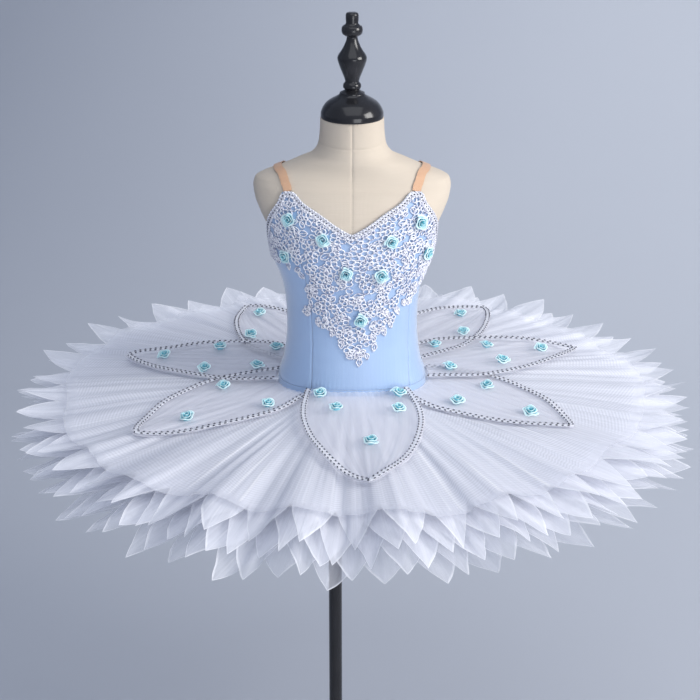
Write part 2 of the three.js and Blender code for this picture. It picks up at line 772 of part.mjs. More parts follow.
function makeLace() {
  const solid = new Solid();
  const place = ([across, rise], side) => {
    const trimmed = Math.min(rise, laceLimit(across));
    return bodyPoint(laceLead(across), trimmed, side ? LACE_BASE + LACE_WALL : LACE_BASE);
  };
  const key = (corner) => corner.map((value) => Math.round(value * 100)).join(' ');
  const rims = new Map();
  for (const centre of lacePlaces()) {
    const corners = laceMotif(centre);
    corners.forEach((from, index) => {
      const to = corners[(index + 1) % corners.length];
      solid.triangle(place(centre, 1), place(from, 1), place(to, 1));
      solid.triangle(place(centre, 0), place(to, 0), place(from, 0));
      const back = `${key(to)} ${key(from)}`;
      if (rims.has(back)) rims.delete(back);
      else rims.set(`${key(from)} ${key(to)}`, [from, to]);
    });
  }
  for (const [from, to] of rims.values()) {
    solid.quad(place(from, 1), place(from, 0), place(to, 0), place(to, 1));
  }
  addPart('lace_applique', solid.geometry(), 'lace');
}

// Rosettes

// One rosette, standing on its seat along the cloth's normal.
function rosetteGeometry(seat, normal) {
  const across = new THREE.Vector3(1, 0, 0).projectOnPlane(normal).normalize();
  const along = normal.clone().cross(across);
  const sides = Array.from({ length: ROSETTE_SIDES }, (_, side) => (side * 360) / ROSETTE_SIDES);
  return ringSolid(ROSETTE_RINGS.map(({ out, radius, twist }) => sides.map((side) => {
    const turn = degToRad(side + twist);
    return seat.clone().addScaledVector(normal, out)
      .addScaledVector(across, radius * Math.cos(turn))
      .addScaledVector(along, radius * Math.sin(turn));
  })));
}

function makeBodiceRosettes() {
  BODICE_ROSETTES.forEach(({ lead, rise, press }, index) => {
    const seat = bodyPoint(lead, rise, ROSETTE_SEAT - press);
    addPart(`rosette_bodice_${index + 1}`, rosetteGeometry(seat, bodyNormal(lead, rise)), 'rosette');
  });
}

// Net skirt

// The lead on the body whose point lies in the direction of a bearing, round from +X.
function leadTowards(bearing, rise) {
  const { half, front, back, square } = bodySection(rise);
  const across = Math.cos(bearing) / half;
  const along = Math.sin(bearing) / (Math.sin(bearing) < 0 ? front : back);
  const turn = Math.atan2(signedPower(along, square / 2), signedPower(across, square / 2));
  return THREE.MathUtils.radToDeg(turn) + 90;
}

const frontShare = (bearing) => Math.max(0, -Math.sin(bearing)) ** FRONT_FADE;

const netRootRise = (layer, bearing) => {
  const lead = THREE.MathUtils.radToDeg(bearing) + 90;
  return hemEdge(lead) - NET_TOP_DROP - NET_ROOT_STEP * layer;
};

// How far out the brief's surface lies, with the net's seam gap.
function rootRadius(bearing, rise, gap) {
  const point = bodyPoint(leadTowards(bearing, rise), rise, CLOTH_OUTSIDE + gap);
  return Math.hypot(point.x, point.y);
}

// The front of each upper layer is cut shorter, so the lower ones show past it.
function dagReach(layer, bearing) {
  const behind = Math.max(0, Math.sin(bearing));
  const above = NET_LAYERS - 1 - layer;
  const cut = lerp(lerp(LAYER_CUT_SIDE, LAYER_CUT_FRONT, frontShare(bearing)), LAYER_CUT_BACK, behind);
  return NET_REACH + FRONT_EXTRA * frontShare(bearing) - above * cut;
}

// Dags are cut by hand, so their reach varies, though not where the skirt is widest and deepest.
const uneven = (layer, dag, bearing) => Math.sin(dag * 2.4 + layer * 1.7) * Math.sin(2 * bearing) ** 2;

// The height of a layer of net without its pleats: a low cone to the knee, then flutes to the rim.
function netRise(layer, bearing, radius) {
  const root = netRootRise(layer, bearing);
  const start = rootRadius(bearing, root, NET_BODY_GAP);
  const rim = -NET_RIM_STEP * layer;
  const knee = lerp(root, rim, NET_KNEE_SHARE);
  const inner = clamp((radius - start) / (NET_KNEE - start), 0, 1);
  const outer = clamp((radius - NET_KNEE) / (NET_REACH - NET_KNEE), 0, 1);
  const flute = lerp(FLUTE_BACK, FLUTE_FRONT, frontShare(bearing))
    * clamp((radius - NET_KNEE) / FLUTE_LENGTH, 0, 1)
    * Math.cos((bearing * 360) / FLUTE_PERIOD);
  const share = clamp((radius - start) / (NET_REACH - start), 0, 1);
  return { rise: lerp(root, knee, inner) + (rim - knee) * outer + flute, share };
}

// How far out each row of a column lies. The top layer has a plain hem, and each other one has dags.
function netRadii(layer, column, bearing, tip) {
  const root = rootRadius(bearing, netRootRise(layer, bearing), NET_BODY_GAP);
  if (layer === 0) {
    const hem = lerp(TOP_REACH_SIDE, TOP_REACH_FRONT, frontShare(bearing));
    return [root, NET_KNEE, (NET_KNEE + hem) / 2, hem];
  }
  const reach = dagReach(layer, bearing);
  const stray = DAG_UNEVEN * uneven(layer, column, bearing);
  const rim = tip ? reach + stray : reach - DAG_LENGTH + stray / 2;
  return [root, NET_KNEE, reach - DAG_ROOT, rim];
}

function makeNetLayer(layer) {
  const columns = Array.from({ length: NET_COLUMNS }, (_, column) => column);
  const point = (row, column, side) => {
    const bearing = (column * 2 * Math.PI) / NET_COLUMNS;
    const tip = (column + layer) % 2 === 0;
    const radii = netRadii(layer, column, bearing, tip);
    const { rise, share } = netRise(layer, bearing, radii[row]);
    const pleat = (tip ? 1 : -1) * NET_PLEAT * share;
    const half = side ? NET_WALL / 2 : -NET_WALL / 2;
    const height = HIP_HEIGHT + rise + pleat + half;
    return new THREE.Vector3(radii[row] * Math.cos(bearing), radii[row] * Math.sin(bearing), height);
  };
  addPart(`net_layer_${layer + 1}`, wallSolid([0, 1, 2, 3], columns, point, true), 'net');
}

function makeSkirt() {
  for (let layer = 0; layer < NET_LAYERS; layer += 1) makeNetLayer(layer);
}

// Petals

// A point over the top net's crests, in the petals' stack.
function overNet(x, y, level, out) {
  const bearing = Math.atan2(y, x);
  const radius = Math.hypot(x, y);
  const { rise, share } = netRise(0, bearing, radius);
  const crest = rise + NET_PLEAT * share + NET_WALL / 2 + PETAL_CLEAR;
  return new THREE.Vector3(x, y, HIP_HEIGHT + crest + level * PETAL_STEP + out);
}

// Where a share of a petal's length and of its half width falls, seen from above.
function petalPlan(petal, along, across) {
  const heading = degToRad(petal.heading);
  const out = new THREE.Vector2(Math.cos(heading), Math.sin(heading));
  const aside = new THREE.Vector2(-out.y, out.x);
  const free = (length) => {
    const base = lerp(PETAL_BASE_SHARE, 1, smoothstep(length, 0, PETAL_BASE_END));
    const half = PETAL_HALF * base * (1 - length ** 2) ** PETAL_ROUND;
    return new THREE.Vector2(petal.tipX, petal.tipY)
      .addScaledVector(out, (length - 1) * PETAL_LENGTH).addScaledVector(aside, across * half);
  };
  const start = free(0);
  const bearing = Math.atan2(start.y, start.x);
  const radius = rootRadius(bearing, netRootRise(0, bearing) + NET_TOP_DROP, petal.gap);
  const pull = new THREE.Vector2(radius * Math.cos(bearing), radius * Math.sin(bearing)).sub(start);
  return free(along).addScaledVector(pull, (1 - along) ** PETAL_GATHER);
}

function petalGeometry(petal) {
  return wallSolid(PETAL_ROWS, PETAL_COLUMNS, (along, across, side) => {
    const plan = petalPlan(petal, along, across);
    return overNet(plan.x, plan.y, petal.level, side ? PETAL_WALL : 0);
  });
}

function makePetal(petal) {
  const up = new THREE.Vector3(0, 0, 1);
  let joined = toManifold(petalGeometry(petal));
  for (const [x, y] of petal.rosettes) {
    const seat = overNet(x, y, petal.level, PETAL_WALL - ROSETTE_SINK);
    joined = joined.add(toManifold(rosetteGeometry(seat, up)));
  }
  addPart(`petal_${petal.name}`, fromManifold(joined), 'petal');
}

// The braid follows a petal's outline from one root, round the tip and back to the other.
function makePetalBraid(petal) {
  const inner = 1 - PETAL_BRAID_WIDTH / PETAL_HALF;
  const innerLength = 1 - PETAL_BRAID_TIP / PETAL_LENGTH;
  const low = PETAL_WALL + SEAM_GAP;
  const side = (sign) => PETAL_BRAID_ROWS.map((along) => ({ along, across: sign }));
  const outline = side(-1).concat([{ along: 1, across: 0 }], side(1).reverse());
  const edges = [[1, PETAL_BRAID_END], [inner, innerLength]];
  const stations = outline.map(({ along, across }) => edges.map(([wide, long]) => {
    const plan = petalPlan(petal, along * long, across * wide);
    return [low, low + BRAID_WALL].map((out) => overNet(plan.x, plan.y, petal.level, out));
  }));
  addPart(`petal_braid_${petal.name}`, stripSolid(stations), 'silver');
}

makeForm();
makeStand();
BODICE_PANELS.forEach(makeBodicePanel);
makeBrief();
makeStraps();
makeEdgeBraids();
makeLace();
makeBodiceRosettes();
makeSkirt();
for (const petal of PETALS) {
  makePetal(petal);
  makePetalBraid(petal);
}

export default dress;
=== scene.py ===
"""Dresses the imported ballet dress: satin bodice with corded lace, wound ribbon rosettes, pleated
net and sheer petals, on a linen dress form with a turned black cap and pole.

Sizes are millimetres until a mesh is made. A place on the body is given by its lead, in degrees
round from the centre front towards +X, and its rise over the hip line. A place on the skirt is
given by its bearing, in radians round from +X, and its radius.
"""

import logging
import math
from dataclasses import dataclass
from enum import Enum
from typing import Callable, Iterable, Sequence

import bpy
import numpy as np
from mathutils import Matrix, Vector


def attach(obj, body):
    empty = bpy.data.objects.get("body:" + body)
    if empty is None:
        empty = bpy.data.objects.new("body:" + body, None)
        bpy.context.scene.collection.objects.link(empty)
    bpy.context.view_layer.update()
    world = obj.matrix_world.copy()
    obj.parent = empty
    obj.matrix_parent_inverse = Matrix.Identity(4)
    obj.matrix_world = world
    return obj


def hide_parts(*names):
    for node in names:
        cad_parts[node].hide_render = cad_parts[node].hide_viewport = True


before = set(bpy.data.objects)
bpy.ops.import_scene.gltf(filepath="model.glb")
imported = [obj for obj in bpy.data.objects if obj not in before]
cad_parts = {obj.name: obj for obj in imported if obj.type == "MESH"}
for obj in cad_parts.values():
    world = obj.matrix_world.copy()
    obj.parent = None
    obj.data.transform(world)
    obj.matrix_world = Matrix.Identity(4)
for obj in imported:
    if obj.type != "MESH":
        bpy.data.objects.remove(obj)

log = logging.getLogger("ballet_dress")
Array = np.ndarray
Piece = bpy.types.Object
Material = bpy.types.Material
Socket = bpy.types.NodeSocket
Pair = tuple[float, float]
Triple = tuple[float, float, float]
Colour = Triple

MM = 0.001
MERGE_DISTANCE = 1e-5  # metres
SPIN = 6.28  # the range of a random turn, in radians
HIP_HEIGHT = 695.0
ROOT = "root"
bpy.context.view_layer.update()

CLOTH_GAP = 1.2
CLOTH_OUTSIDE = 2.6
SEAM_GAP = 0.3
HEM_RISE = 20.0
HEM_FRONT_LIFT = 6.0
SIDE_SEAM_LEAD = 95.0

BODY_ROWS = (
    # rise, half width, front reach, back reach, squareness
    (-60, 99, 80, 88, 2.0),
    (-30, 102.5, 84, 91, 2.1),
    (0, 101.5, 85, 91, 2.2),
    (20, 98.5, 84, 88, 2.25),
    (44, 91.4, 80.5, 79, 2.3),
    (65, 88.2, 77, 73, 2.3),
    (87, 86.3, 74.5, 70, 2.3),
    (108, 86.3, 74, 70, 2.3),
    (130, 87.4, 75, 72, 2.3),
    (153, 91, 77, 75, 2.3),
    (173, 96.8, 79, 78, 2.3),
    (193, 104.4, 80, 80, 2.3),
    (210, 108, 79.5, 80, 2.3),
    (235, 114.1, 76, 79, 2.3),
    (255, 122.8, 71, 76, 2.25),
    (275, 129.7, 64, 70, 2.2),
    (290, 131.5, 57, 62, 2.15),
    (299, 129, 51, 55, 2.1),
    (305, 119.5, 48, 50, 2.1),
    (311, 103.5, 46.5, 47, 2.05),
    (317, 88, 46, 45, 2.0),
    (323, 74.2, 46, 43, 2.0),
    (332, 53.6, 44.5, 41.5, 2.0),
    (344, 45.3, 41.5, 40, 2.0),
    (361.5, 42.8, 40, 40, 2.0),
    (379, 42, 39.5, 39.5, 2.0),
)

TOP_EDGE = (
    # lead, rise
    (0, 240), (8, 251), (17, 265), (27, 278), (34.5, 290), (41, 290), (46, 276), (58, 258),
    (71, 238), (82, 211), (95, 190), (110, 196), (125, 214), (139, 232), (146, 232), (160, 225),
    (180, 221),
)

PRINCESS_SEAMS = (
    # share of the bodice's height, left lead, right lead
    (0, -31, 49), (0.15, -33.5, 55), (0.4, -35, 57), (0.7, -36, 50), (1, -37.5, 37.5),
)

LEG_EDGE = (
    # lead, rise
    (-95, -36), (-75, -42), (-55, -56), (-35, -76), (-20, -91), (-9, -96), (24, -96), (38, -86),
    (56, -63), (75, -43), (95, -36), (118, -58), (138, -82), (156, -96), (189, -96), (206, -86),
    (232, -60), (265, -36),
)

STRAP_PATH = (
    # share along, lead, rise
    (0, 37.8, 290.3), (0.06, 40, 297), (0.12, 44, 302.5), (0.2, 52, 307.5), (0.29, 66, 311.2),
    (0.39, 88, 313), (0.48, 110, 311.5), (0.56, 126, 307), (0.63, 136, 300), (0.71, 141, 288),
    (0.81, 143, 270), (0.9, 143, 251), (1, 142.5, 232.3),
)


class Curve:
    """A table's column as a smooth curve without overshoot."""

    def __init__(self, places: Sequence[float], values: Sequence[float]) -> None:
        """Works out the slope at each row.

        Args:
            places: the rows' places, rising.
            values: the rows' values.
        """
        self.places = np.asarray(places, float)
        self.values = np.asarray(values, float)
        secants = np.diff(self.values) / np.diff(self.places)
        before, after = secants[:-1], secants[1:]
        agree = before * after > 0
        total = np.where(agree, before + after, 1.0)
        inner = np.where(agree, 2 * before * after / total, 0.0)
        self.slopes = np.concatenate([secants[:1], inner, secants[-1:]])

    def __call__(self, at: Array | float) -> Array:
        """Returns the curve's value at each place.

        Args:
            at: places along the curve, held to its ends.

        Returns:
            The curve's values.
        """
        at = np.clip(at, self.places[0], self.places[-1])
        row = np.clip(np.searchsorted(self.places, at, side="right") - 1, 0, len(self.places) - 2)
        run = self.places[row + 1] - self.places[row]
        t = (at - self.places[row]) / run
        t2, t3 = t * t, t * t * t
        blend = 3 * t2 - 2 * t3
        level = self.values[row] * (1 - blend) + self.values[row + 1] * blend
        leave, arrive = self.slopes[row] * run, self.slopes[row + 1] * run
        return level + leave * (t3 - 2 * t2 + t) + arrive * (t3 - t2)


def column_curve(table: Sequence[Sequence[float]], column: int) -> Curve:
    """Returns a column of a table as a curve over its first column."""
    return Curve([row[0] for row in table], [row[column] for row in table])


def smooth(share: Array | float) -> Array:
    """Returns a share eased in and out, held between 0 and 1."""
    s = np.clip(share, 0.0, 1.0)
    return s * s * (3 - 2 * s)


def blend(low: Array | float, high: Array | float, share: Array | float) -> Array:
    """Returns the value a share of the way from low to high."""
    return low + (high - low) * share


def signed_power(value: Array, power: Array | float) -> Array:
    """Returns a power that keeps the sign of its value."""
    return np.sign(value) * np.abs(value) ** power


def fold_lead(lead: Array | float) -> Array:
    """Returns a lead as its distance from the centre front, 0 to 180."""
    turned = np.mod(lead, 360.0)
    return np.where(turned > 180, 360 - turned, turned)


@dataclass(frozen=True)
class Body:
    """The dress form's own surface, which all the cloth is shaped on."""

    dome_top: float = -60.0
    dome_depth: float = 52.0
    probe: float = 0.5
    curves: tuple[Curve, ...] = tuple(column_curve(BODY_ROWS, column) for column in range(1, 5))
    top: Curve = column_curve(TOP_EDGE, 1)

    def section(self, rise: Array | float) -> tuple[Array, Array, Array, Array]:
        """Returns the half width, front reach, back reach and squareness at a rise.

        Args:
            rise: rises over the hip line.

        Returns:
            Four arrays, all but the last in millimetres.
        """
        at = np.maximum(rise, self.dome_top)
        fall = np.minimum((at - rise) / self.dome_depth, 1.0)
        shrink = np.sqrt(1 - fall * fall)
        half, front, back, square = (curve(at) for curve in self.curves)
        return half * shrink, front * shrink, back * shrink, square

    def skin(self, lead: Array | float, rise: Array | float) -> Array:
        """Returns points of the surface, one row of x, y, z for each lead and rise.

        Args:
            lead: leads in degrees.
            rise: rises over the hip line.

        Returns:
            The points in millimetres.
        """
        lead, rise = np.broadcast_arrays(np.asarray(lead, float), np.asarray(rise, float))
        half, front, back, square = self.section(rise)
        turn = np.radians(lead - 90)
        across = signed_power(np.cos(turn), 2 / square)
        along = signed_power(np.sin(turn), 2 / square)
        depth = np.where(along < 0, front, back)
        return np.stack([across * half, along * depth, HIP_HEIGHT + rise], axis=-1)

    def normal(self, lead: Array | float, rise: Array | float) -> Array:
        """Returns the surface's outward normals.

        Args:
            lead: leads in degrees.
            rise: rises over the hip line.

        Returns:
            Vectors of length 1.
        """
        round_it = self.skin(lead + self.probe, rise) - self.skin(lead - self.probe, rise)
        up = self.skin(lead, rise + self.probe) - self.skin(lead, rise - self.probe)
        return unit(np.cross(round_it, up))

    def point(self, lead: Array | float, rise: Array | float, out: Array | float) -> Array:
        """Returns points a distance out from the surface."""
        out = np.asarray(out, float)[..., None]
        return self.skin(lead, rise) + self.normal(lead, rise) * out

    def degree_width(self, lead: Array, rise: Array) -> Array:
        """Returns how wide one degree of lead is on the surface."""
        step = self.skin(lead + self.probe, rise) - self.skin(lead - self.probe, rise)
        return np.linalg.norm(step, axis=-1)

    def top_edge(self, lead: Array | float) -> Array:
        """Returns the rise of the bodice's top edge."""
        return self.top(fold_lead(lead))

    def hem_edge(self, lead: Array | float) -> Array:
        """Returns the rise of the bodice's hem, which lifts at the front."""
        return HEM_RISE + HEM_FRONT_LIFT * np.maximum(0, np.cos(np.radians(lead))) ** 2

    def radius_at(self, bearing: Array, rise: Array | float, out: float) -> Array:
        """Returns how far out the surface, and a gap over it, lies in a direction.

        Args:
            bearing: bearings in radians.
            rise: rises over the hip line.
            out: how far out from the surface.

        Returns:
            Distances from the axis.
        """
        half, front, back, square = self.section(rise)
        across = np.cos(bearing) / half
        along = np.sin(bearing) / np.where(np.sin(bearing) < 0, front, back)
        turn = np.arctan2(signed_power(along, square / 2), signed_power(across, square / 2))
        points = self.point(np.degrees(turn) + 90, rise, out)
        return np.hypot(points[..., 0], points[..., 1])


def unit(vectors: Array) -> Array:
    """Returns vectors at length 1."""
    return vectors / np.maximum(np.linalg.norm(vectors, axis=-1, keepdims=True), 1e-9)


BODY = Body()


# Making meshes


def read_points(piece: Piece) -> Array:
    """Returns the piece's vertices as rows of x, y, z.

    Args:
        piece: the piece.

    Returns:
        The points, as they are in the mesh.
    """
    flat = np.empty(len(piece.data.vertices) * 3, np.float32)
    piece.data.vertices.foreach_get("co", flat)
    return flat.reshape(-1, 3).astype(float)


def write_points(piece: Piece, points: Array) -> None:
    """Moves the piece's vertices to points in millimetres."""
    piece.data.vertices.foreach_set("co", (points * MM).astype(np.float32).ravel())
    piece.data.update()


def deselect() -> None:
    """Leaves object mode with nothing selected."""
    bpy.ops.object.select_all(action="DESELECT")
    bpy.context.view_layer.objects.active = None


def choose(piece: Piece) -> None:
    """Makes the piece the only selected and active one.

    Args:
        piece: the piece.
    """
    deselect()
    piece.select_set(True)
    bpy.context.view_layer.objects.active = piece


def edit_all(piece: Piece, *steps: Callable[[], object]) -> None:
    """Runs edit-mode steps on the whole piece.

    Args:
        piece: the piece, selected all over first.
        steps: calls to edit-mode operators.
    """
    choose(piece)
    bpy.ops.object.mode_set(mode="EDIT")
    bpy.ops.mesh.select_all(action="SELECT")
    for step in steps:
        step()
    bpy.ops.object.mode_set(mode="OBJECT")


def merge_doubles(piece: Piece) -> None:
    """Joins vertices that fall together, as at a ring's closing seam."""
    edit_all(piece, lambda: bpy.ops.mesh.remove_doubles(threshold=MERGE_DISTANCE))


def apply_modifier(piece: Piece, kind: str, **settings: object) -> None:
    """Adds a modifier with its settings and applies it.

    Args:
        piece: the piece.
        kind: the modifier's type.
        settings: its settings.
    """
    choose(piece)
    bpy.ops.object.modifier_add(type=kind)
    modifier = piece.modifiers[-1]
    for name, value in settings.items():
        setattr(modifier, name, value)
    bpy.ops.object.modifier_apply(modifier=modifier.name)


def shade_smooth(piece: Piece, angle: float = 180.0) -> None:
    """Shades the piece smooth, with sharp edges over an angle in degrees.

    Args:
        piece: the piece.
        angle: the least turn between faces that stays sharp.
    """
    choose(piece)
    if angle >= 180:
        bpy.ops.object.shade_smooth()
    else:
        bpy.ops.object.shade_smooth_by_angle(angle=math.radians(angle))


Place = Callable[[Array, Array], Array]


def cloth_grid(
    name: str,
    columns: int,
    rows: int,
    place: Place,
    size: Pair = (1.0, 1.0),
    wall: float = 0.0,
    closed: bool = False,
) -> Piece:
    """Lays a flat grid of cloth where it is worn.

    Args:
        name: the piece's name.
        columns: faces across the cloth.
        rows: faces up the cloth.
        place: gives points in millimetres for shares across and up the cloth.
        size: the flat cloth's width and length in metres, kept in its UV map.
        wall: the cloth's thickness, added inwards.
        closed: whether the last column meets the first.

    Returns:
        The piece, at the origin.
    """
    deselect()
    bpy.ops.mesh.primitive_grid_add(x_subdivisions=columns, y_subdivisions=rows, size=1.0)
    piece = bpy.context.object
    piece.name = name
    flat = read_points(piece)
    write_points(piece, place(flat[:, 0] + 0.5, flat[:, 1] + 0.5))
    layer = piece.data.uv_layers.active.data
    uv = np.empty(len(layer) * 2, np.float32)
    layer.foreach_get("uv", uv)
    layer.foreach_set("uv", (uv.reshape(-1, 2) * np.array(size)).astype(np.float32).ravel())
    if closed:
        merge_doubles(piece)
    if wall:
        apply_modifier(piece, "SOLIDIFY", thickness=wall * MM, offset=-1.0)
    shade_smooth(piece, 50 if wall else 180)
    return piece


def add_attribute(piece: Piece, name: str, values: Array) -> None:
    """Stores a number at each vertex for a material to read."""
    attribute = piece.data.attributes.new(name, "FLOAT", "POINT")
    attribute.data.foreach_set("value", values.astype(np.float32))


def scatter(name: str, bead: Piece, places: Array, axes: Array) -> Piece:
    """Copies a small mesh to many places as one piece.

    Args:
        name: the new piece's name.
        bead: the mesh to copy, about the origin, in metres.
        places: the copies' centres in millimetres.
        axes: each copy's three axes, as the columns of a 3 by 3 matrix.

    Returns:
        One piece with all the copies.
    """
    points = read_points(bead)
    faces = [list(face.vertices) for face in bead.data.polygons]
    spread = np.einsum("nij,vj->nvi", axes, points) + places[:, None, :] * MM
    step = len(points)
    copies = range(len(places))
    all_faces = [[index + copy * step for index in face] for copy in copies for face in faces]
    mesh = bpy.data.meshes.new(name)
    mesh.from_pydata(spread.reshape(-1, 3).tolist(), [], all_faces)
    piece = bpy.data.objects.new(name, mesh)
    bpy.context.scene.collection.objects.link(piece)
    shade_smooth(piece)
    return piece


def join_pieces(pieces: Sequence[Piece]) -> Piece:
    """Joins pieces into the first, keeping each one's material.

    Args:
        pieces: the pieces, the first of which is kept.

    Returns:
        The first piece, now with all the faces.
    """
    deselect()
    for piece in pieces:
        piece.select_set(True)
    bpy.context.view_layer.objects.active = pieces[0]
    bpy.ops.object.join()
    return pieces[0]


def copy_piece(source: Piece, name: str, matrix: Matrix) -> Piece:
    """Copies a piece with a mesh of its own, moved by a matrix in metres.

    Args:
        source: the piece to copy.
        name: the new one's name.
        matrix: where the copy goes, in metres.

    Returns:
        The copy.
    """
    piece = bpy.data.objects.new(name, source.data.copy())
    piece.data.transform(matrix)
    bpy.context.scene.collection.objects.link(piece)
    return piece


def wear(piece: Piece, slot: str, *nodes: str) -> Piece:
    """Puts a finished piece on the part: its body and the CAD nodes it stands for.

    Args:
        piece: the piece.
        slot: not used.
        nodes: the CAD nodes that it replaces.

    Returns:
        The piece.
    """
    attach(piece, ROOT)
    if nodes:
        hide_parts(*nodes)
    log.info("%s: %d faces", piece.name, len(piece.data.polygons))
    return piece


# Finishes


class Nodes:
    """Makes one material's nodes and joins them."""

    def __init__(self, name: str) -> None:
        """Starts a material with an empty node tree.

        Args:
            name: the material's name.
        """
        self.material = bpy.data.materials.new(name)
        self.material.use_nodes = True
        self.tree = self.material.node_tree
        self.tree.nodes.clear()

    def add(self, kind: str, **values: object) -> bpy.types.Node:
        """Returns a new node with its settings or socket values.

        Args:
            kind: the node's type, without the Shader prefix.
            values: attributes of the node, or socket names with spaces written as underscores.

        Returns:
            The node.
        """
        node = self.tree.nodes.new("ShaderNode" + kind)
        for name, value in values.items():
            if hasattr(node, name):
                setattr(node, name, value)
            else:
                self.feed(node.inputs[name.replace("_", " ")], value)
        return node

    def feed(self, socket: Socket, value: object) -> None:
        """Links a socket to a socket, or sets its value.

        Args:
            socket: the input.
            value: a socket, a number or a colour.
        """
        if isinstance(value, Socket):
            self.tree.links.new(value, socket)
        else:
            socket.default_value = value

    def sum(self, operation: str, *values: object, clamp: bool = False) -> Socket:
        """Returns the result of a Math node on sockets or numbers.

        Args:
            operation: the node's operation.
            values: its inputs.
            clamp: whether the result is held between 0 and 1.

        Returns:
            The result.
        """
        node = self.tree.nodes.new("ShaderNodeMath")
        node.operation = operation
        node.use_clamp = clamp
        for socket, value in zip(node.inputs, values):
            self.feed(socket, value)
        return node.outputs[0]

    def uv(self) -> Socket:
        """Returns the piece's own UV map, in metres of flat cloth."""
        return self.add("UVMap").outputs["UV"]

    def place(self) -> Socket:
        """Returns Object coordinates."""
        return self.add("TexCoord").outputs["Object"]

    def parts(self, vector: Socket) -> tuple[Socket, ...]:
        """Returns a vector's three parts."""
        return tuple(self.add("SeparateXYZ", Vector=vector).outputs)

    def noise(self, vector: Socket, scale: float, detail: float = 2.0) -> Socket:
        """Returns a noise between 0 and 1."""
        return self.add("TexNoise", Vector=vector, Scale=scale, Detail=detail).outputs["Fac"]

    def stretch(self, vector: Socket, scale: Triple) -> Socket:
        """Returns a vector with each axis scaled."""
        return self.add("Mapping", Vector=vector, Scale=scale).outputs["Vector"]

    def ribs(self, along: Socket, period: float) -> Socket:
        """Returns a wave from 0 to 1 that repeats at a period in metres."""
        turn = self.sum("MULTIPLY", along, 2 * math.pi / period)
        return self.sum("MULTIPLY_ADD", self.sum("SINE", turn), 0.5, 0.5)

    def ramp(self, share: Socket, low: Colour, high: Colour) -> Socket:
        """Returns a colour between two by a share.

        Args:
            share: how much of the high colour.
            low: the colour at 0.
            high: the colour at 1.

        Returns:
            The colour.
        """
        node = self.add("Mix", data_type="RGBA")
        self.feed(node.inputs[0], share)
        self.feed(node.inputs[6], (*low, 1.0))
        self.feed(node.inputs[7], (*high, 1.0))
        return node.outputs[2]

    def attribute(self, name: str) -> Socket:
        """Returns a number that the mesh holds at its vertices."""
        return self.add("Attribute", attribute_name=name).outputs["Fac"]

    def bump(self, height: Socket, depth: float, strength: float = 1.0) -> Socket:
        """Returns normals from a height, with its depth in metres."""
        return self.add("Bump", Height=height, Distance=depth, Strength=strength).outputs["Normal"]

    def principled(self, **values: object) -> Material:
        """Ends the tree in one Principled shader and returns the material.

        Args:
            values: input names with spaces written as underscores.

        Returns:
            The material.
        """
        shader = self.add("BsdfPrincipled")
        for name, value in values.items():
            self.feed(shader.inputs[name.replace("_", " ")], value)
        output = self.add("OutputMaterial")
        self.feed(output.inputs["Surface"], shader.outputs[0])
        return self.material


@dataclass(frozen=True)
class LinenFinish:
    """Cream linen stretched over the form: a plain weave with slubs."""

    pale: Colour = (0.75, 0.655, 0.54)
    deep: Colour = (0.66, 0.56, 0.435)
    thread: float = 0.0011
    slubs: Triple = (40, 900, 1)
    depth: float = 0.00018

    def build(self) -> Material:
        """Returns the material."""
        n = Nodes("linen")
        x, y, _ = n.parts(n.uv())
        weave = n.sum("MULTIPLY", n.ribs(x, self.thread), n.ribs(y, self.thread))
        slub = n.noise(n.stretch(n.uv(), self.slubs), 1.0, 3.0)
        cloud = n.noise(n.place(), 9.0)
        shade = n.sum("MULTIPLY_ADD", slub, 0.6, n.sum("MULTIPLY", cloud, 0.4))
        height = n.sum("MULTIPLY_ADD", weave, 0.6, n.sum("MULTIPLY", slub, 0.5))
        return n.principled(
            Base_Color=n.ramp(shade, self.deep, self.pale),
            Roughness=n.sum("MULTIPLY_ADD", slub, 0.12, 0.74),
            Normal=n.bump(height, self.depth),
            Sheen_Weight=0.15,
        )


@dataclass(frozen=True)
class BlackGlossFinish:
    """Turned wood or metal under black gloss paint."""

    colour: Colour = (0.012, 0.012, 0.014)
    worn: Colour = (0.022, 0.021, 0.023)
    roughness: float = 0.16
    grain: Triple = (60, 60, 400)
    depth: float = 0.00006

    def build(self) -> Material:
        """Returns the material."""
        n = Nodes("black_gloss")
        grain = n.noise(n.stretch(n.place(), self.grain), 1.0, 3.0)
        cloud = n.noise(n.place(), 30.0)
        return n.principled(
            Base_Color=n.ramp(cloud, self.colour, self.worn),
            Roughness=n.sum("MULTIPLY_ADD", cloud, 0.12, self.roughness),
            Normal=n.bump(grain, self.depth),
            Coat_Weight=0.25,
            Coat_Roughness=0.08,
            Specular_IOR_Level=0.35,
        )


@dataclass(frozen=True)
class SatinFinish:
    """Pale blue stretch satin: a fine knit with a soft sheen."""

    pale: Colour = (0.44, 0.585, 0.81)
    deep: Colour = (0.335, 0.50, 0.77)
    rib: float = 0.0009
    streaks: Triple = (420, 16, 1)
    roughness: float = 0.40
    depth: float = 0.00008

    def build(self) -> Material:
        """Returns the material."""
        n = Nodes("blue_satin")
        x, y, _ = n.parts(n.uv())
        knit = n.sum("MULTIPLY", n.ribs(x, self.rib), n.ribs(y, self.rib * 1.3))
        streak = n.noise(n.stretch(n.uv(), self.streaks), 1.0)
        cloud = n.noise(n.place(), 14.0)
        shade = n.sum("MULTIPLY_ADD", streak, 0.5, n.sum("MULTIPLY", cloud, 0.5))
        return n.principled(
            Base_Color=n.ramp(shade, self.deep, self.pale),
            Roughness=n.sum("MULTIPLY_ADD", streak, 0.1, self.roughness),
            Normal=n.bump(n.sum("MULTIPLY_ADD", knit, 0.7, streak), self.depth),
            Sheen_Weight=1.0,
            Sheen_Roughness=0.4,
            Specular_IOR_Level=0.85,
            Coat_Weight=0.3,
            Coat_Roughness=0.42,
        )


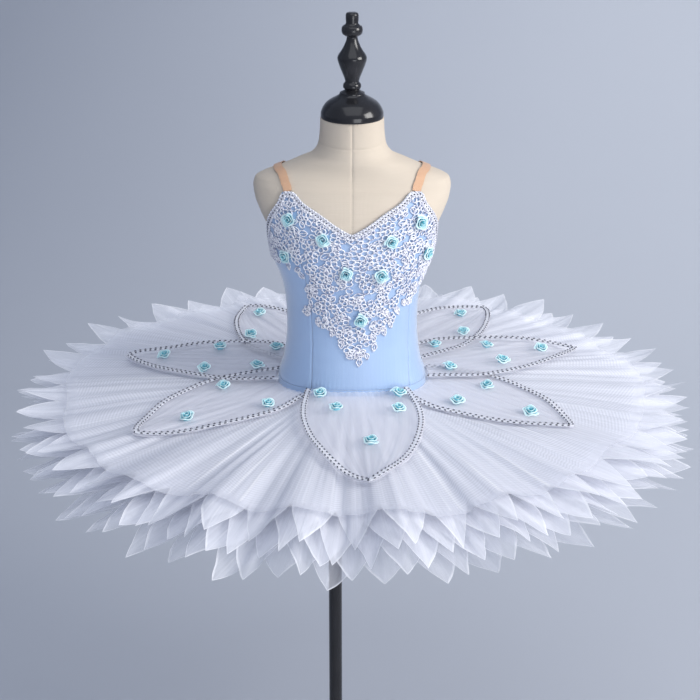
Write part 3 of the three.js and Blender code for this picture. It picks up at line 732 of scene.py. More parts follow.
@dataclass(frozen=True)
class ElasticFinish:
    """Skin-coloured satin elastic, ribbed across its width."""

    pale: Colour = (0.80, 0.50, 0.31)
    deep: Colour = (0.70, 0.39, 0.22)
    cord: float = 0.0014
    pick: float = 0.0009
    depth: float = 0.0002

    def build(self) -> Material:
        """Returns the material."""
        n = Nodes("elastic")
        x, y, _ = n.parts(n.uv())
        cords = n.ribs(x, self.cord)
        height = n.sum("MULTIPLY_ADD", n.ribs(y, self.pick), 0.3, cords)
        return n.principled(
            Base_Color=n.ramp(n.sum("MULTIPLY", height, 0.75), self.deep, self.pale),
            Roughness=n.sum("MULTIPLY_ADD", cords, -0.1, 0.55),
            Normal=n.bump(height, self.depth),
            Sheen_Weight=0.3,
        )


@dataclass(frozen=True)
class BeadFinish:
    """Glass beads, smoky silver or pearly, dappled with lighter spots that are painted glints over the
    darker bead colour.
    """

    name: str
    # The lighter colour is a painted glint.
    painted_glint: Colour
    dark: Colour
    metallic: float = 0.75
    spots: float = 330.0

    def build(self) -> Material:
        """Returns the material."""
        n = Nodes(self.name)
        spots = n.noise(n.place(), self.spots, 1.0)
        # Painted glints: where the spots rise, the bead takes its lighter glint colour.
        share = n.sum("MULTIPLY_ADD", spots, 2.4, -0.7, clamp=True)
        return n.principled(
            Base_Color=n.ramp(share, self.dark, self.painted_glint),
            Metallic=self.metallic,
            Roughness=n.sum("MULTIPLY_ADD", spots, 0.2, 0.16),
        )


@dataclass(frozen=True)
class TapeFinish:
    """The nearly white woven tape that the beads are sewn to."""

    pale: Colour = (0.97, 0.97, 1.0)
    deep: Colour = (0.82, 0.83, 0.90)
    twill: float = 0.0022

    def build(self) -> Material:
        """Returns the material."""
        n = Nodes("braid_tape")
        x, y, _ = n.parts(n.uv())
        twill = n.ribs(n.sum("ADD", x, y), self.twill)
        return n.principled(
            Base_Color=n.ramp(twill, self.deep, self.pale),
            Roughness=n.sum("MULTIPLY_ADD", twill, -0.2, 0.6),
            Normal=n.bump(twill, 0.0003),
        )


@dataclass(frozen=True)
class LaceFinish:
    """White corded lace with dark lavender flecks in its cord: partly its silver twist, partly painted
    shade standing in for the shadows between the cords.
    """

    pale: Colour = (0.95, 0.95, 0.99)
    # Partly the cord's silver, partly painted shade for the shadows between the cords.
    silver: Colour = (0.26, 0.27, 0.42)
    flecks: float = 420.0
    depth: float = 0.0004

    def build(self) -> Material:
        """Returns the material."""
        n = Nodes("lace_cord")
        fleck = n.noise(n.place(), self.flecks, 1.0)
        # Where the flecks fall low, the cord turns dark lavender: silver twist and painted shade together.
        share = n.sum("MULTIPLY_ADD", fleck, 4.5, -1.35, clamp=True)
        return n.principled(
            Base_Color=n.ramp(share, self.silver, self.pale),
            Roughness=n.sum("MULTIPLY_ADD", share, 0.2, 0.32),
            Normal=n.bump(fleck, self.depth),
            Sheen_Weight=0.2,
        )


@dataclass(frozen=True)
class RibbonFinish:
    """Turquoise satin ribbon, painted paler along its lip: a painted highlight where the rims catch the
    light.
    """

    deep: Colour = (0.30, 0.77, 0.86)
    # The pale colour is a painted highlight for the lit rims.
    pale: Colour = (0.80, 0.98, 0.98)
    thread: float = 0.0005
    depth: float = 0.00005

    def build(self) -> Material:
        """Returns the material."""
        n = Nodes("rosette_ribbon")
        _, y, _ = n.parts(n.uv())
        weave = n.ribs(y, self.thread)
        # The edge attribute marks the ribbon's lip, which gets the painted highlight.
        share = n.sum("MULTIPLY_ADD", weave, 0.12, n.attribute("edge"), clamp=True)
        return n.principled(
            Base_Color=n.ramp(share, self.deep, self.pale),
            Roughness=n.sum("MULTIPLY_ADD", weave, 0.08, 0.28),
            Normal=n.bump(weave, self.depth),
            Sheen_Weight=0.25,
        )


@dataclass(frozen=True)
class NetFinish:
    """Stiff white net: fine threads that cross, sheerer towards the rim, thicker at a cut edge."""

    name: str
    hole_alpha: float
    thread_alpha: float
    hem_alpha: float
    colour: Colour = (0.90, 0.91, 0.97)
    edge_colour: Colour = (0.98, 0.98, 1.0)
    period: float = 0.0031
    slant: float = 0.22
    length: float = 0.39
    thinning: float = 0.35
    facets: Triple = (11, 2, 1)
    streaks: Triple = (210, 4, 1)
    creases: Triple = (70, 3, 1)
    depth: float = 0.0012

    def build(self) -> Material:
        """Returns the material."""
        n = Nodes(self.name)
        x, y, _ = n.parts(n.uv())
        left = n.ribs(n.sum("MULTIPLY_ADD", x, self.slant, y), self.period)
        right = n.ribs(n.sum("MULTIPLY_ADD", x, -self.slant, y), self.period)
        facet = n.noise(n.stretch(n.uv(), self.facets), 1.0, 1.0)
        facet = n.sum("MULTIPLY_ADD", facet, 9.0, -4.0, clamp=True)
        threads = n.sum("MULTIPLY_ADD", n.sum("SUBTRACT", right, left), facet, left)
        streak = n.noise(n.stretch(n.uv(), self.streaks), 1.0)
        crease = n.noise(n.stretch(n.uv(), self.creases), 1.0, 3.0)
        crease = n.sum("MULTIPLY_ADD", crease, 9.0, -5.6, clamp=True)
        hem = n.attribute("hem")
        mesh = n.sum("MULTIPLY_ADD", threads, self.thread_alpha, self.hole_alpha)
        mesh = n.sum("MULTIPLY", mesh, n.sum("MULTIPLY_ADD", streak, 0.5, 0.75))
        sheerer = n.sum("MULTIPLY_ADD", y, -self.thinning / self.length, 1.2)
        mesh = n.sum("MULTIPLY", mesh, sheerer)
        mesh = n.sum("MULTIPLY_ADD", crease, 0.16, mesh)
        alpha = n.sum("MULTIPLY_ADD", hem, self.hem_alpha, mesh, clamp=True)
        return n.principled(
            Base_Color=n.ramp(n.sum("MAXIMUM", hem, crease), self.colour, self.edge_colour),
            Roughness=n.sum("MULTIPLY_ADD", crease, -0.1, 0.6),
            Alpha=alpha,
            Normal=n.bump(n.sum("MULTIPLY_ADD", crease, 0.5, streak), self.depth, 0.5),
        )


@dataclass(frozen=True)
class SheerFinish:
    """Sheer pinkish-grey organza with faint creases."""

    pale: Colour = (0.96, 0.95, 0.99)
    deep: Colour = (0.86, 0.85, 0.92)
    alpha: float = 0.32
    thread: float = 0.0012
    creases: Triple = (90, 7, 1)
    depth: float = 0.0016

    def build(self) -> Material:
        """Returns the material."""
        n = Nodes("sheer_petal")
        x, y, _ = n.parts(n.uv())
        crease = n.noise(n.stretch(n.uv(), self.creases), 1.0, 3.0)
        weave = n.sum("MULTIPLY", n.ribs(x, self.thread), n.ribs(y, self.thread))
        alpha = n.sum("MULTIPLY_ADD", weave, 0.12, self.alpha)
        alpha = n.sum("MULTIPLY_ADD", n.sum("SUBTRACT", crease, 0.5), 0.25, alpha)
        return n.principled(
            Base_Color=n.ramp(crease, self.deep, self.pale),
            Roughness=0.42,
            Alpha=n.sum("MULTIPLY_ADD", n.attribute("hem"), 0.2, alpha, clamp=True),
            Normal=n.bump(crease, self.depth, 0.6),
            Sheen_Weight=0.4,
        )


@dataclass(frozen=True)
class PaperFinish:
    """The studio's pale floor, painted brighter towards the key lamp on the right and darker to the left:
    painted light.
    """

    # Painted shade on the left, painted light on the right.
    left: Colour = (0.36, 0.385, 0.44)
    right: Colour = (0.64, 0.665, 0.71)

    def build(self) -> Material:
        """Returns the material."""
        n = Nodes("studio_paper_painted_light")
        x, y, _ = n.parts(n.place())
        # Painted light: further back the colour darkens to the left and brightens to the right, standing
        # in for the light's falloff from the key lamp.
        far = n.sum("MULTIPLY", y, 0.28, clamp=True)
        share = n.sum("MULTIPLY_ADD", n.sum("MULTIPLY", x, far), 0.45, 0.42)
        cloud = n.noise(n.place(), 2.0)
        share = n.sum("MULTIPLY_ADD", cloud, 0.06, share, clamp=True)
        return n.principled(Base_Color=n.ramp(share, self.left, self.right), Roughness=0.9)


class Finish(Enum):
    """The finishes of the dress and its stand."""

    LINEN = LinenFinish()
    BLACK_GLOSS = BlackGlossFinish()
    SATIN = SatinFinish()
    ELASTIC = ElasticFinish()
    # Each bead finish gives its painted glint colour, then its darker bead colour.
    SMOKY_BEADS = BeadFinish("smoky_beads", (0.26, 0.26, 0.30), (0.05, 0.05, 0.07))
    PEARLS = BeadFinish("pearl_beads", (0.95, 0.95, 0.98), (0.62, 0.63, 0.72), 0.2)
    TAPE = TapeFinish()
    LACE = LaceFinish()
    RIBBON = RibbonFinish()
    TOP_NET = NetFinish("top_net", 0.58, 0.12, 0.0, length=0.33, thinning=0.7)
    NET = NetFinish("middle_net", 0.60, 0.14, 0.3)
    LOW_NET = NetFinish("lower_net", 0.34, 0.16, 0.5)
    SHEER = SheerFinish()
    PAPER = PaperFinish()


class Wardrobe:
    """Builds each finish once and puts it on pieces."""

    def __init__(self) -> None:
        """Starts with nothing built."""
        self.built: dict[Finish, Material] = {}

    def dress(self, piece: Piece, finish: Finish) -> Piece:
        """Gives a piece one finish all over and returns it.

        Args:
            piece: the piece.
            finish: the finish.

        Returns:
            The piece.
        """
        if finish not in self.built:
            self.built[finish] = finish.value.build()
        piece.data.materials.clear()
        piece.data.materials.append(self.built[finish])
        return piece


# Dress form and stand


@dataclass
class DressForm:
    """The padded linen torso with its seams pressed in."""

    bottom: float = -108.0
    shoulder: float = 285.0
    shoulder_step: float = 1.5
    top: float = 379.0
    columns: int = 132
    dome_rows: int = 30
    body_rows: int = 80
    shoulder_rows: int = 72
    flat: Pair = (0.66, 0.6)
    seam_depth: float = 0.7
    seam_half: float = 1.1
    seam_leads: tuple[float, ...] = (0.0, 90.0, 180.0, 270.0)
    seam_columns: tuple[float, ...] = (-0.9, -0.45, 0.45, 0.9)
    neck_front: float = 345.0
    neck_back: float = 352.0

    def leads(self) -> Array:
        """Returns the columns' leads, closer together at the seams.

        Returns:
            Leads from 0 to 360.
        """
        even = np.linspace(0, 360, self.columns + 1)[:-1]
        extra = (np.array(self.seam_leads)[:, None] + np.array(self.seam_columns)).ravel()
        return np.append(np.unique(np.mod(np.concatenate([even, extra]), 360)), 360.0)

    def rises(self) -> Array:
        """Returns the rows' rises, closer together at the neck seam and the shoulders.

        Returns:
            Rises from the underside to the neck.
        """
        dome = BODY.dome_top - BODY.dome_depth * np.sin(np.linspace(np.pi / 2, 0, self.dome_rows))[:-1]
        dome = dome[dome > self.bottom]
        low = np.linspace(BODY.dome_top, self.shoulder, self.body_rows)
        high = np.linspace(self.shoulder + self.shoulder_step, self.top, self.shoulder_rows)
        return np.concatenate([dome, low, high])

    def place(self, u: Array, v: Array, leads: Array, rises: Array) -> Array:
        """Returns the torso's points for shares across and up its grid.

        Args:
            u: shares across the cloth.
            v: shares up the cloth.
            leads: the columns' leads.
            rises: the rows' rises.

        Returns:
            The points in millimetres, pressed in at the seams.
        """
        lead = np.interp(u * (len(leads) - 1), np.arange(len(leads)), leads)
        rise = np.interp(v * (len(rises) - 1), np.arange(len(rises)), rises)
        to_seam = np.full_like(lead, np.inf)
        width = BODY.degree_width(lead, rise)
        for seam in self.seam_leads:
            away = np.abs(np.mod(lead - seam + 180, 360) - 180)
            to_seam = np.minimum(to_seam, away * width)
        neck = blend(self.neck_back, self.neck_front, (1 + np.cos(np.radians(lead))) / 2)
        to_seam = np.minimum(to_seam, np.abs(rise - neck))
        pressed = self.seam_depth * np.exp(-((to_seam / self.seam_half) ** 2))
        return BODY.point(lead, rise, -pressed)

    def build(self, wardrobe: Wardrobe) -> Piece:
        """Makes the torso and closes its underside.

        Args:
            wardrobe: holds the finishes.

        Returns:
            The torso.
        """
        leads, rises = self.leads(), self.rises()
        piece = cloth_grid(
            "form_torso_linen", len(leads) - 1, len(rises) - 1,
            lambda u, v: self.place(u, v, leads, rises), self.flat, closed=True,
        )
        edit_all(
            piece,
            lambda: bpy.ops.mesh.select_all(action="DESELECT"),
            lambda: bpy.ops.mesh.select_non_manifold(extend=False),
            lambda: bpy.ops.mesh.edge_face_add(),
        )
        wardrobe.dress(piece, Finish.LINEN)
        wear(piece, "linen", "form_torso")
        return piece


@dataclass
class TurnedPiece:
    """A piece turned on a lathe: a circle drawn up its profile ring by ring."""

    node: str
    profile: tuple[Pair, ...]
    centre_x: float = 0.0
    base: float = 0.0
    steps: int = 4
    sides: int = 64
    sharp: float = 38.0

    def rings(self) -> list[Pair]:
        """Returns the profile's radius and height at each ring, rounded between its rows.

        Returns:
            Pairs of radius and height.
        """
        places = np.arange(len(self.profile))
        radius = Curve(places, [row[0] for row in self.profile])
        height = Curve(places, [row[1] for row in self.profile])
        at = np.linspace(0, len(places) - 1, (len(places) - 1) * self.steps + 1)
        return list(zip(radius(at), height(at)))

    def build(self, wardrobe: Wardrobe) -> Piece:
        """Draws the circle up the profile by extruding and resizing it.

        Args:
            wardrobe: holds the finishes.

        Returns:
            The turned piece.
        """
        rings = self.rings()
        radius, height = rings[0]
        deselect()
        bpy.ops.mesh.primitive_circle_add(
            vertices=self.sides, radius=radius * MM, fill_type="NGON",
            location=(self.centre_x * MM, 0, (self.base + height) * MM),
        )
        piece = bpy.context.object
        piece.name = self.node + "_turned"
        bpy.ops.object.mode_set(mode="EDIT")
        for (before, low), (after, high) in zip(rings, rings[1:]):
            rise = (0, 0, (high - low) * MM)
            bpy.ops.mesh.extrude_region_move(TRANSFORM_OT_translate={"value": rise})
            bpy.ops.transform.resize(value=(after / before, after / before, 1))
        bpy.ops.mesh.select_all(action="SELECT")
        bpy.ops.mesh.normals_make_consistent(inside=False)
        bpy.ops.object.mode_set(mode="OBJECT")
        bpy.ops.object.transform_apply(location=True, rotation=True, scale=True)
        shade_smooth(piece, self.sharp)
        wardrobe.dress(piece, Finish.BLACK_GLOSS)
        return wear(piece, "black_gloss", self.node)


CAP_PROFILE = (
    (41, 379), (41.4, 381), (41.3, 385), (40, 389.5), (35, 397.5), (28.5, 402.5), (22, 406),
    (17.5, 409), (16.4, 411), (16.4, 412),
)
FINIAL_PROFILE = (
    (16.4, 412), (13, 413.6), (9.5, 416), (11.2, 417.6), (12, 420), (11.4, 423.4), (9.2, 426.4),
    (10.2, 431), (13, 438), (17.2, 448.7), (19, 454.8), (19.3, 457.6), (18.4, 460.6), (12.4, 470),
    (7.6, 481), (7.1, 484.6), (9.8, 486.4), (13, 489.4), (13.9, 493.6), (13, 498), (9.4, 500.8),
    (8.1, 503), (8.5, 509), (8.2, 514), (6.2, 516.2), (1.4, 516.7),
)
POLE_PROFILE = ((9.5, 26), (9.5, 28), (9.5, 583), (9.6, 584), (13.6, 585.6), (14, 587), (14, 589))
BASE_PROFILE = (
    (143, 0), (145, 1), (145, 5), (143.6, 7.6), (136, 11), (100, 13.4), (60, 16), (34, 18.6),
    (24, 20.6), (19.4, 22.4), (18, 24), (17.4, 25.6), (16, 26),
)
POLE_OFFSET = -24.0


@dataclass
class Stand:
    """The turned black cap, finial, pole and base."""

    pieces: tuple[TurnedPiece, ...] = (
        TurnedPiece("neck_cap", CAP_PROFILE, base=HIP_HEIGHT),
        TurnedPiece("finial", FINIAL_PROFILE, base=HIP_HEIGHT),
        TurnedPiece("stand_pole", POLE_PROFILE, POLE_OFFSET),
        TurnedPiece("stand_base", BASE_PROFILE, POLE_OFFSET),
    )

    def build(self, wardrobe: Wardrobe) -> None:
        """Makes the four turned pieces."""
        for piece in self.pieces:
            piece.build(wardrobe)


# Bodice and brief

SeamLead = Callable[[Array], Array]


class SatinPanel:
    """A panel of pale blue satin stretched over the form."""

    node: str
    columns: int
    rows: int
    flat: Pair
    area: float
    wall: float

    def place(self, u: Array, v: Array) -> Array:
        """Returns the panel's points for shares across and up it."""
        raise NotImplementedError

    def build(self, wardrobe: Wardrobe) -> Piece:
        """Makes the panel.

        Args:
            wardrobe: holds the finishes.

        Returns:
            The panel.
        """
        name = self.node + "_satin"
        piece = cloth_grid(name, self.columns, self.rows, self.place, self.flat, self.wall)
        wardrobe.dress(piece, Finish.SATIN)
        wear(piece, "blue_satin", self.node)
        return piece


@dataclass
class BodicePanel(SatinPanel):
    """One panel of the bodice, between two seams."""

    node: str
    start: SeamLead
    end: SeamLead
    columns: int
    flat: Pair
    area: float
    rows: int = 84
    crowding: float = 0.55
    turn_in: float = 1.1
    turn_half: float = 1.3
    roll: float = 0.6
    roll_half: float = 1.4
    pucker: float = 0.22
    wall: float = 1.2

    def place(self, u: Array, v: Array) -> Array:
        """Returns the panel's points, its edges turned in at the seams.

        Args:
            u: shares across the cloth.
            v: shares up the cloth.

        Returns:
            The points in millimetres.
        """
        low, high = self.start(v), self.end(v)
        middle = (low + high) / 2
        rise = blend(BODY.hem_edge(middle), BODY.top_edge(middle), v)
        width = BODY.degree_width(middle, rise)
        inset = SEAM_GAP / 2 / width
        # Columns crowd towards both seams, where the cloth turns in.
        share = blend(u, 0.5 - 0.5 * np.cos(np.pi * u), self.crowding)
        lead = blend(low + inset, high - inset, share)
        rise = blend(BODY.hem_edge(lead), BODY.top_edge(lead), v)
        to_seam = np.minimum(share, 1 - share) * (high - low) * width
        height = BODY.top_edge(lead) - BODY.hem_edge(lead)
        to_edge = np.minimum(v, 1 - v) * height
        pressed = self.turn_in * np.exp(-((to_seam / self.turn_half) ** 2))
        pressed += self.roll * np.exp(-((to_edge / self.roll_half) ** 2))
        ripple = self.pucker * np.sin(rise / 3.1 + lead / 9) * np.exp(-to_seam / 7)
        ripple += self.pucker * 1.3 * np.sin(lead * 1.9) * np.exp(-(v * height) / 9)
        return BODY.point(lead, rise, CLOTH_OUTSIDE - pressed + ripple)


def straight_seam(lead: float) -> SeamLead:
    """Returns a seam that keeps one lead all the way up."""
    return lambda up: np.full_like(up, lead)


@dataclass
class Bodice:
    """The camisole bodice: centre front, two side fronts and back."""

    left: Curve = column_curve(PRINCESS_SEAMS, 1)
    right: Curve = column_curve(PRINCESS_SEAMS, 2)

    def panels(self) -> list[BodicePanel]:
        """Returns the four panels with their seams and cuts.

        Returns:
            The panels, from the centre front round to the back.
        """
        left_side, right_side = straight_seam(-SIDE_SEAM_LEAD), straight_seam(SIDE_SEAM_LEAD)
        far_side = straight_seam(360 - SIDE_SEAM_LEAD)
        return [
            BodicePanel("bodice_centre_front", self.left, self.right, 84, (0.18, 0.275), 0.0360),
            BodicePanel("bodice_side_front_left", left_side, self.left, 60, (0.115, 0.275), 0.0200),
            BodicePanel("bodice_side_front_right", self.right, right_side, 52, (0.10, 0.275), 0.0140),
            BodicePanel("bodice_back", right_side, far_side, 120, (0.28, 0.215), 0.0510),
        ]

    def build(self, wardrobe: Wardrobe) -> None:
        """Makes each panel."""
        for panel in self.panels():
            panel.build(wardrobe)


@dataclass
class BriefPanel(SatinPanel):
    """Half of the brief, from the bodice's hem to the leg openings."""

    node: str
    start: float
    end: float
    flat: Pair
    area: float
    columns: int = 90
    rows: int = 40
    wall: float = 1.2
    side_gap: float = 0.1
    stitch_rise: float = 7.5
    mm_per_degree: float = 1.7
    leg: Curve = column_curve(LEG_EDGE, 1)

    def place(self, u: Array, v: Array) -> Array:
        """Returns the panel's points, with a rolled edge at the leg.

        Args:
            u: shares across the cloth.
            v: shares up the cloth.

        Returns:
            The points in millimetres.
        """
        rise_low = self.leg(blend(self.start, self.end, u))
        lead = blend(self.start + self.side_gap, self.end - self.side_gap, u)
        top = BODY.hem_edge(lead) - SEAM_GAP
        rise = blend(rise_low, top, v)
        to_leg = v * (top - rise_low)
        stitch = 0.5 * np.exp(-(((to_leg - self.stitch_rise) / 0.8) ** 2))
        fold = stitch + 0.8 * np.exp(-((to_leg / 1.2) ** 2))
        to_seam = np.minimum(u, 1 - u) * (self.end - self.start) * self.mm_per_degree
        pressed = fold + 0.9 * np.exp(-((to_seam / 1.2) ** 2))
        return BODY.point(lead, rise, CLOTH_OUTSIDE - pressed)


@dataclass
class Gusset(SatinPanel):
    """The strip of the brief that passes under the body beside the pole."""

    node: str = "brief_gusset"
    rise: float = -96.0
    left: float = -9.0
    right: float = 24.0
    flat: Pair = (0.046, 0.128)
    area: float = 0.0045
    columns: int = 14
    rows: int = 36
    wall: float = 1.1
    pressed: float = 0.2

    def place(self, u: Array, v: Array) -> Array:
        """Returns the strip's points from front to back under the dome.

        Args:
            u: shares across the cloth.
            v: shares from the front to the back.

        Returns:
            The points in millimetres.
        """
        half, front, back, _ = BODY.section(self.rise - SEAM_GAP)
        share = blend(math.sin(math.radians(self.right)), math.sin(math.radians(self.left)), u)
        reach = np.sqrt(1 - share**2)
        x, y = share * half, blend(-front * reach, back * reach, v)
        half, front, back, _ = BODY.section(BODY.dome_top)
        depth = np.where(y < 0, front, back)
        drop = BODY.dome_depth * np.sqrt(np.maximum(0, 1 - (x / half) ** 2 - (y / depth) ** 2))
        normal = unit(np.stack([x / half**2, y / depth**2, -drop / BODY.dome_depth**2], axis=-1))
        points = np.stack([x, y, HIP_HEIGHT + BODY.dome_top - drop], axis=-1)
        return points + normal * (CLOTH_OUTSIDE - self.pressed)


@dataclass
class Brief:
    """The brief under the skirt."""

    def build(self, wardrobe: Wardrobe) -> None:
        """Makes both panels and the gusset.

        Args:
            wardrobe: holds the finishes.
        """
        side = SIDE_SEAM_LEAD
        BriefPanel("brief_front", -side, side, (0.30, 0.128), 0.0280).build(wardrobe)
        BriefPanel("brief_back", side, 360 - side, (0.30, 0.128), 0.0260).build(wardrobe)
        Gusset().build(wardrobe)


# Straps and bead braid


@dataclass
class Strap:
    """One elastic shoulder strap, sewn under the bodice's top edge at both ends."""

    name: str
    side: int
    width: float = 11.5
    flat_length: float = 0.205
    thick: float = 0.95
    crown: float = 0.25
    columns: int = 8
    stations: int = 120
    tuck: float = 0.02
    lead: Curve = column_curve(STRAP_PATH, 1)
    rise: Curve = column_curve(STRAP_PATH, 2)

    def place(self, u: Array, v: Array) -> Array:
        """Returns the strap's points, its edges thinner than its middle.

        Args:
            u: shares across the strap.
            v: shares along it from the front.

        Returns:
            The points in millimetres.
        """
        lead, rise = self.side * self.lead(v), self.rise(v)
        near = np.minimum(v + self.tuck, 1), np.maximum(v - self.tuck, 0)
        run = BODY.skin(self.side * self.lead(near[0]), self.rise(near[0]))
        run = unit(run - BODY.skin(self.side * self.lead(near[1]), self.rise(near[1])))
        normal = BODY.normal(lead, rise)
        aside = unit(np.cross(run, normal))
        across = (u - 0.5) * self.width
        lift = CLOTH_GAP + self.thick + self.crown * (1 - (2 * u - 1) ** 4)
        return BODY.skin(lead, rise) + normal * lift[:, None] + aside * across[:, None]

    def build(self, wardrobe: Wardrobe) -> Piece:
        """Makes the strap.

        Args:
            wardrobe: holds the finishes.

        Returns:
            The strap.
        """
        name, flat = self.name + "_elastic", (self.width * MM, self.flat_length)
        piece = cloth_grid(name, self.columns, self.stations, self.place, flat, self.thick)
        wardrobe.dress(piece, Finish.ELASTIC)
        wear(piece, "elastic", self.name)
        return piece


@dataclass(frozen=True)
class BeadRow:
    """One row of equal beads: its place across the braid, and the beads' half sizes and lean."""

    across: float
    long: float
    thick: float
    shift: float
    lean: float
    finish: Finish


TWIN_ROWS = (
    BeadRow(-2.7, 1.9, 1.05, 0.2, -0.2, Finish.SMOKY_BEADS),
    BeadRow(2.7, 1.9, 1.05, 0.5, 0.2, Finish.SMOKY_BEADS),
)
EDGE_ROWS = (
    BeadRow(-3.0, 2.0, 1.3, 0.0, 0.35, Finish.PEARLS),
    BeadRow(0.0, 1.3, 1.1, 0.5, 0.0, Finish.SMOKY_BEADS),
    BeadRow(3.0, 1.9, 1.2, 0.1, -0.35, Finish.PEARLS),
)


@dataclass
class BeadBraid:
    """Bead braid: rows of beads on a woven tape, along any path."""

    name: str
    centres: Array
    normals: Array
    rows: tuple[BeadRow, ...]
    width: float
    pitch: float
    tape_lift: float = 0.25
    tape_crown: float = 0.5
    tape_wall: float = 0.35
    tape_step: float = 1.6
    scallop: float = 0.08

    def frames(self, at: Array) -> tuple[Array, Array, Array, Array]:
        """Returns the path's place, run, side and normal at lengths along it.

        Args:
            at: lengths along the path.

        Returns:
            Four arrays of x, y, z.
        """
        steps = np.linalg.norm(np.diff(self.centres, axis=0), axis=1)
        length = np.concatenate([[0], np.cumsum(steps)])

        def along(values: Array, where: Array) -> Array:
            """Returns values read at lengths along the path."""
            return np.stack([np.interp(where, length, values[:, axis]) for axis in range(3)], axis=1)

        place, normal = along(self.centres, at), unit(along(self.normals, at))
        ahead, behind = np.minimum(at + 1, length[-1]), np.maximum(at - 1, 0)
        run = unit(along(self.centres, ahead) - along(self.centres, behind))
        side = unit(np.cross(normal, run))
        return place, run, side, normal

    def length(self) -> float:
        """Returns the path's length."""
        return float(np.linalg.norm(np.diff(self.centres, axis=0), axis=1).sum())

    def tape(self) -> Piece:
        """Makes the woven tape with its scalloped edges.

        Returns:
            The tape.
        """
        total = self.length()

        def place(u: Array, v: Array) -> Array:
            """Returns the tape's points for shares across and along it.

            Args:
                u: shares across the tape.
                v: shares along it.

            Returns:
                The points in millimetres.
            """
            centre, _, side, normal = self.frames(v * total)
            scallop = 1 + self.scallop * np.cos(2 * np.pi * v * total / self.pitch)
            across = (u - 0.5) * self.width * scallop
            lift = self.tape_lift + self.tape_crown * (1 - (2 * u - 1) ** 2)
            return centre + side * across[:, None] + normal * lift[:, None]

        stations, flat = int(total / self.tape_step), (self.width * MM, total * MM)
        return cloth_grid(self.name, 4, stations, place, flat, self.tape_wall)

    def bead_row(self, row: BeadRow) -> Piece:
        """Makes one row of beads.

        Args:
            row: the row's place and bead size.

        Returns:
            The beads as one piece.
        """
        deselect()
        bpy.ops.mesh.primitive_uv_sphere_add(segments=6, ring_count=5, radius=MM)
        bead = bpy.context.object
        bpy.ops.transform.resize(value=(row.long, row.thick, row.thick))
        bpy.ops.object.transform_apply(location=True, rotation=True, scale=True)
        at = (np.arange(int(self.length() / self.pitch)) + row.shift) * self.pitch
        centre, run, side, normal = self.frames(at)
        turned = unit(run * math.cos(row.lean) + side * math.sin(row.lean))
        axes = np.stack([turned, np.cross(normal, turned), normal], axis=2)
        lift = self.tape_lift + self.tape_crown + row.thick * 0.6
        spots = centre + side * row.across + normal * lift
        piece = scatter(self.name + "_beads", bead, spots, axes)
        bpy.data.objects.remove(bead)
        return piece

    def build(self, wardrobe: Wardrobe, node: str) -> Piece:
        """Makes the braid as one piece that stands for its CAD strip.

        Args:
            wardrobe: holds the finishes.
            node: the CAD node that it stands for.

        Returns:
            The braid.
        """
        pieces = [wardrobe.dress(self.tape(), Finish.TAPE)]
        pieces += [wardrobe.dress(self.bead_row(row), row.finish) for row in self.rows]
        return wear(join_pieces(pieces), "silver", node)


@dataclass
class EdgeBraids:
    """The braid along the bodice's neckline, back and armholes."""

    inset: float = 3.9
    lift: float = CLOTH_OUTSIDE + 0.2
    width: float = 8.2
    pitch: float = 4.5
    stations: int = 160
    runs: tuple[tuple[str, float, float], ...] = (
        ("braid_neck_front", -39.5, 39.5),
        ("braid_neck_back", 147, 213),
        ("braid_armhole_left", -138, -40),
        ("braid_armhole_right", 40, 138),
    )

    def build(self, wardrobe: Wardrobe) -> None:
        """Makes the four runs.

        Args:
            wardrobe: holds the finishes.
        """
        for node, start, end in self.runs:
            lead = np.linspace(start, end, self.stations)
            rise = BODY.top_edge(lead)
            edge = BODY.skin(lead, rise)
            normal = BODY.normal(lead, rise)
            run = unit(np.gradient(edge, axis=0))
            down = unit(np.cross(run, normal))
            centres = edge + down * self.inset + normal * self.lift
            braid = BeadBraid(node + "_beaded", centres, normal, EDGE_ROWS, self.width, self.pitch)
            braid.build(wardrobe, node)


# Lace


LACE_LOWER = (
    # lead, rise
    (-100, 190), (-58, 198), (-38, 198), (-35, 158), (-32, 132), (-25, 120), (-9, 100), (-2, 68),
    (7, 68), (16, 84), (24, 106), (34, 120), (42, 142), (52, 140), (62, 156), (75, 166), (90, 180),
    (100, 184),
)
LACE_TOP_INSET = 7.0


class CordWork:
    """Collects cords laid on the body and makes them one round-corded piece."""

    def __init__(self, name: str, mm_per_degree: float, lift: float) -> None:
        """Starts an empty piece.

        Args:
            name: the piece's name.
            mm_per_degree: how wide a degree of lead is on the flat lace.
            lift: how far the cords' middle lies over the body.
        """
        self.mm_per_degree = mm_per_degree
        self.lift = lift
        self.curve = bpy.data.curves.new(name, "CURVE")
        self.curve.dimensions = "3D"
        self.curve.bevel_depth = MM
        self.curve.bevel_resolution = 1
        self.curve.use_fill_caps = True

    def lay(self, flat: Array, thick: float, closed: bool = True, raised: float = 0.0) -> None:
        """Lays one cord.

        Args:
            flat: its points on the flat lace, across and up, in millimetres.
            thick: the cord's radius.
            closed: whether it is a loop.
            raised: how far it lies over the other cords.
        """
        points = BODY.point(flat[:, 0] / self.mm_per_degree, flat[:, 1], self.lift + raised)
        spline = self.curve.splines.new("POLY")
        spline.points.add(len(points) - 1)
        padded = np.concatenate([points * MM, np.ones((len(points), 1))], axis=1)
        spline.points.foreach_set("co", padded.astype(np.float32).ravel())
        spline.points.foreach_set("radius", np.full(len(points), thick, np.float32))
        spline.use_cyclic_u = closed

    def finish(self) -> Piece:
        """Returns the cords as one mesh piece.

        Returns:
            The lace.
        """
        piece = bpy.data.objects.new(self.curve.name, self.curve)
        bpy.context.scene.collection.objects.link(piece)
        choose(piece)
        bpy.ops.object.convert(target="MESH")
        piece = bpy.context.object
        shade_smooth(piece)
        return piece


@dataclass(frozen=True)
class Spacing:
    """How closely one kind of motif lies: its least gap, its margin inside the outline, and tries."""

    gap: float
    margin: float
    tries: int


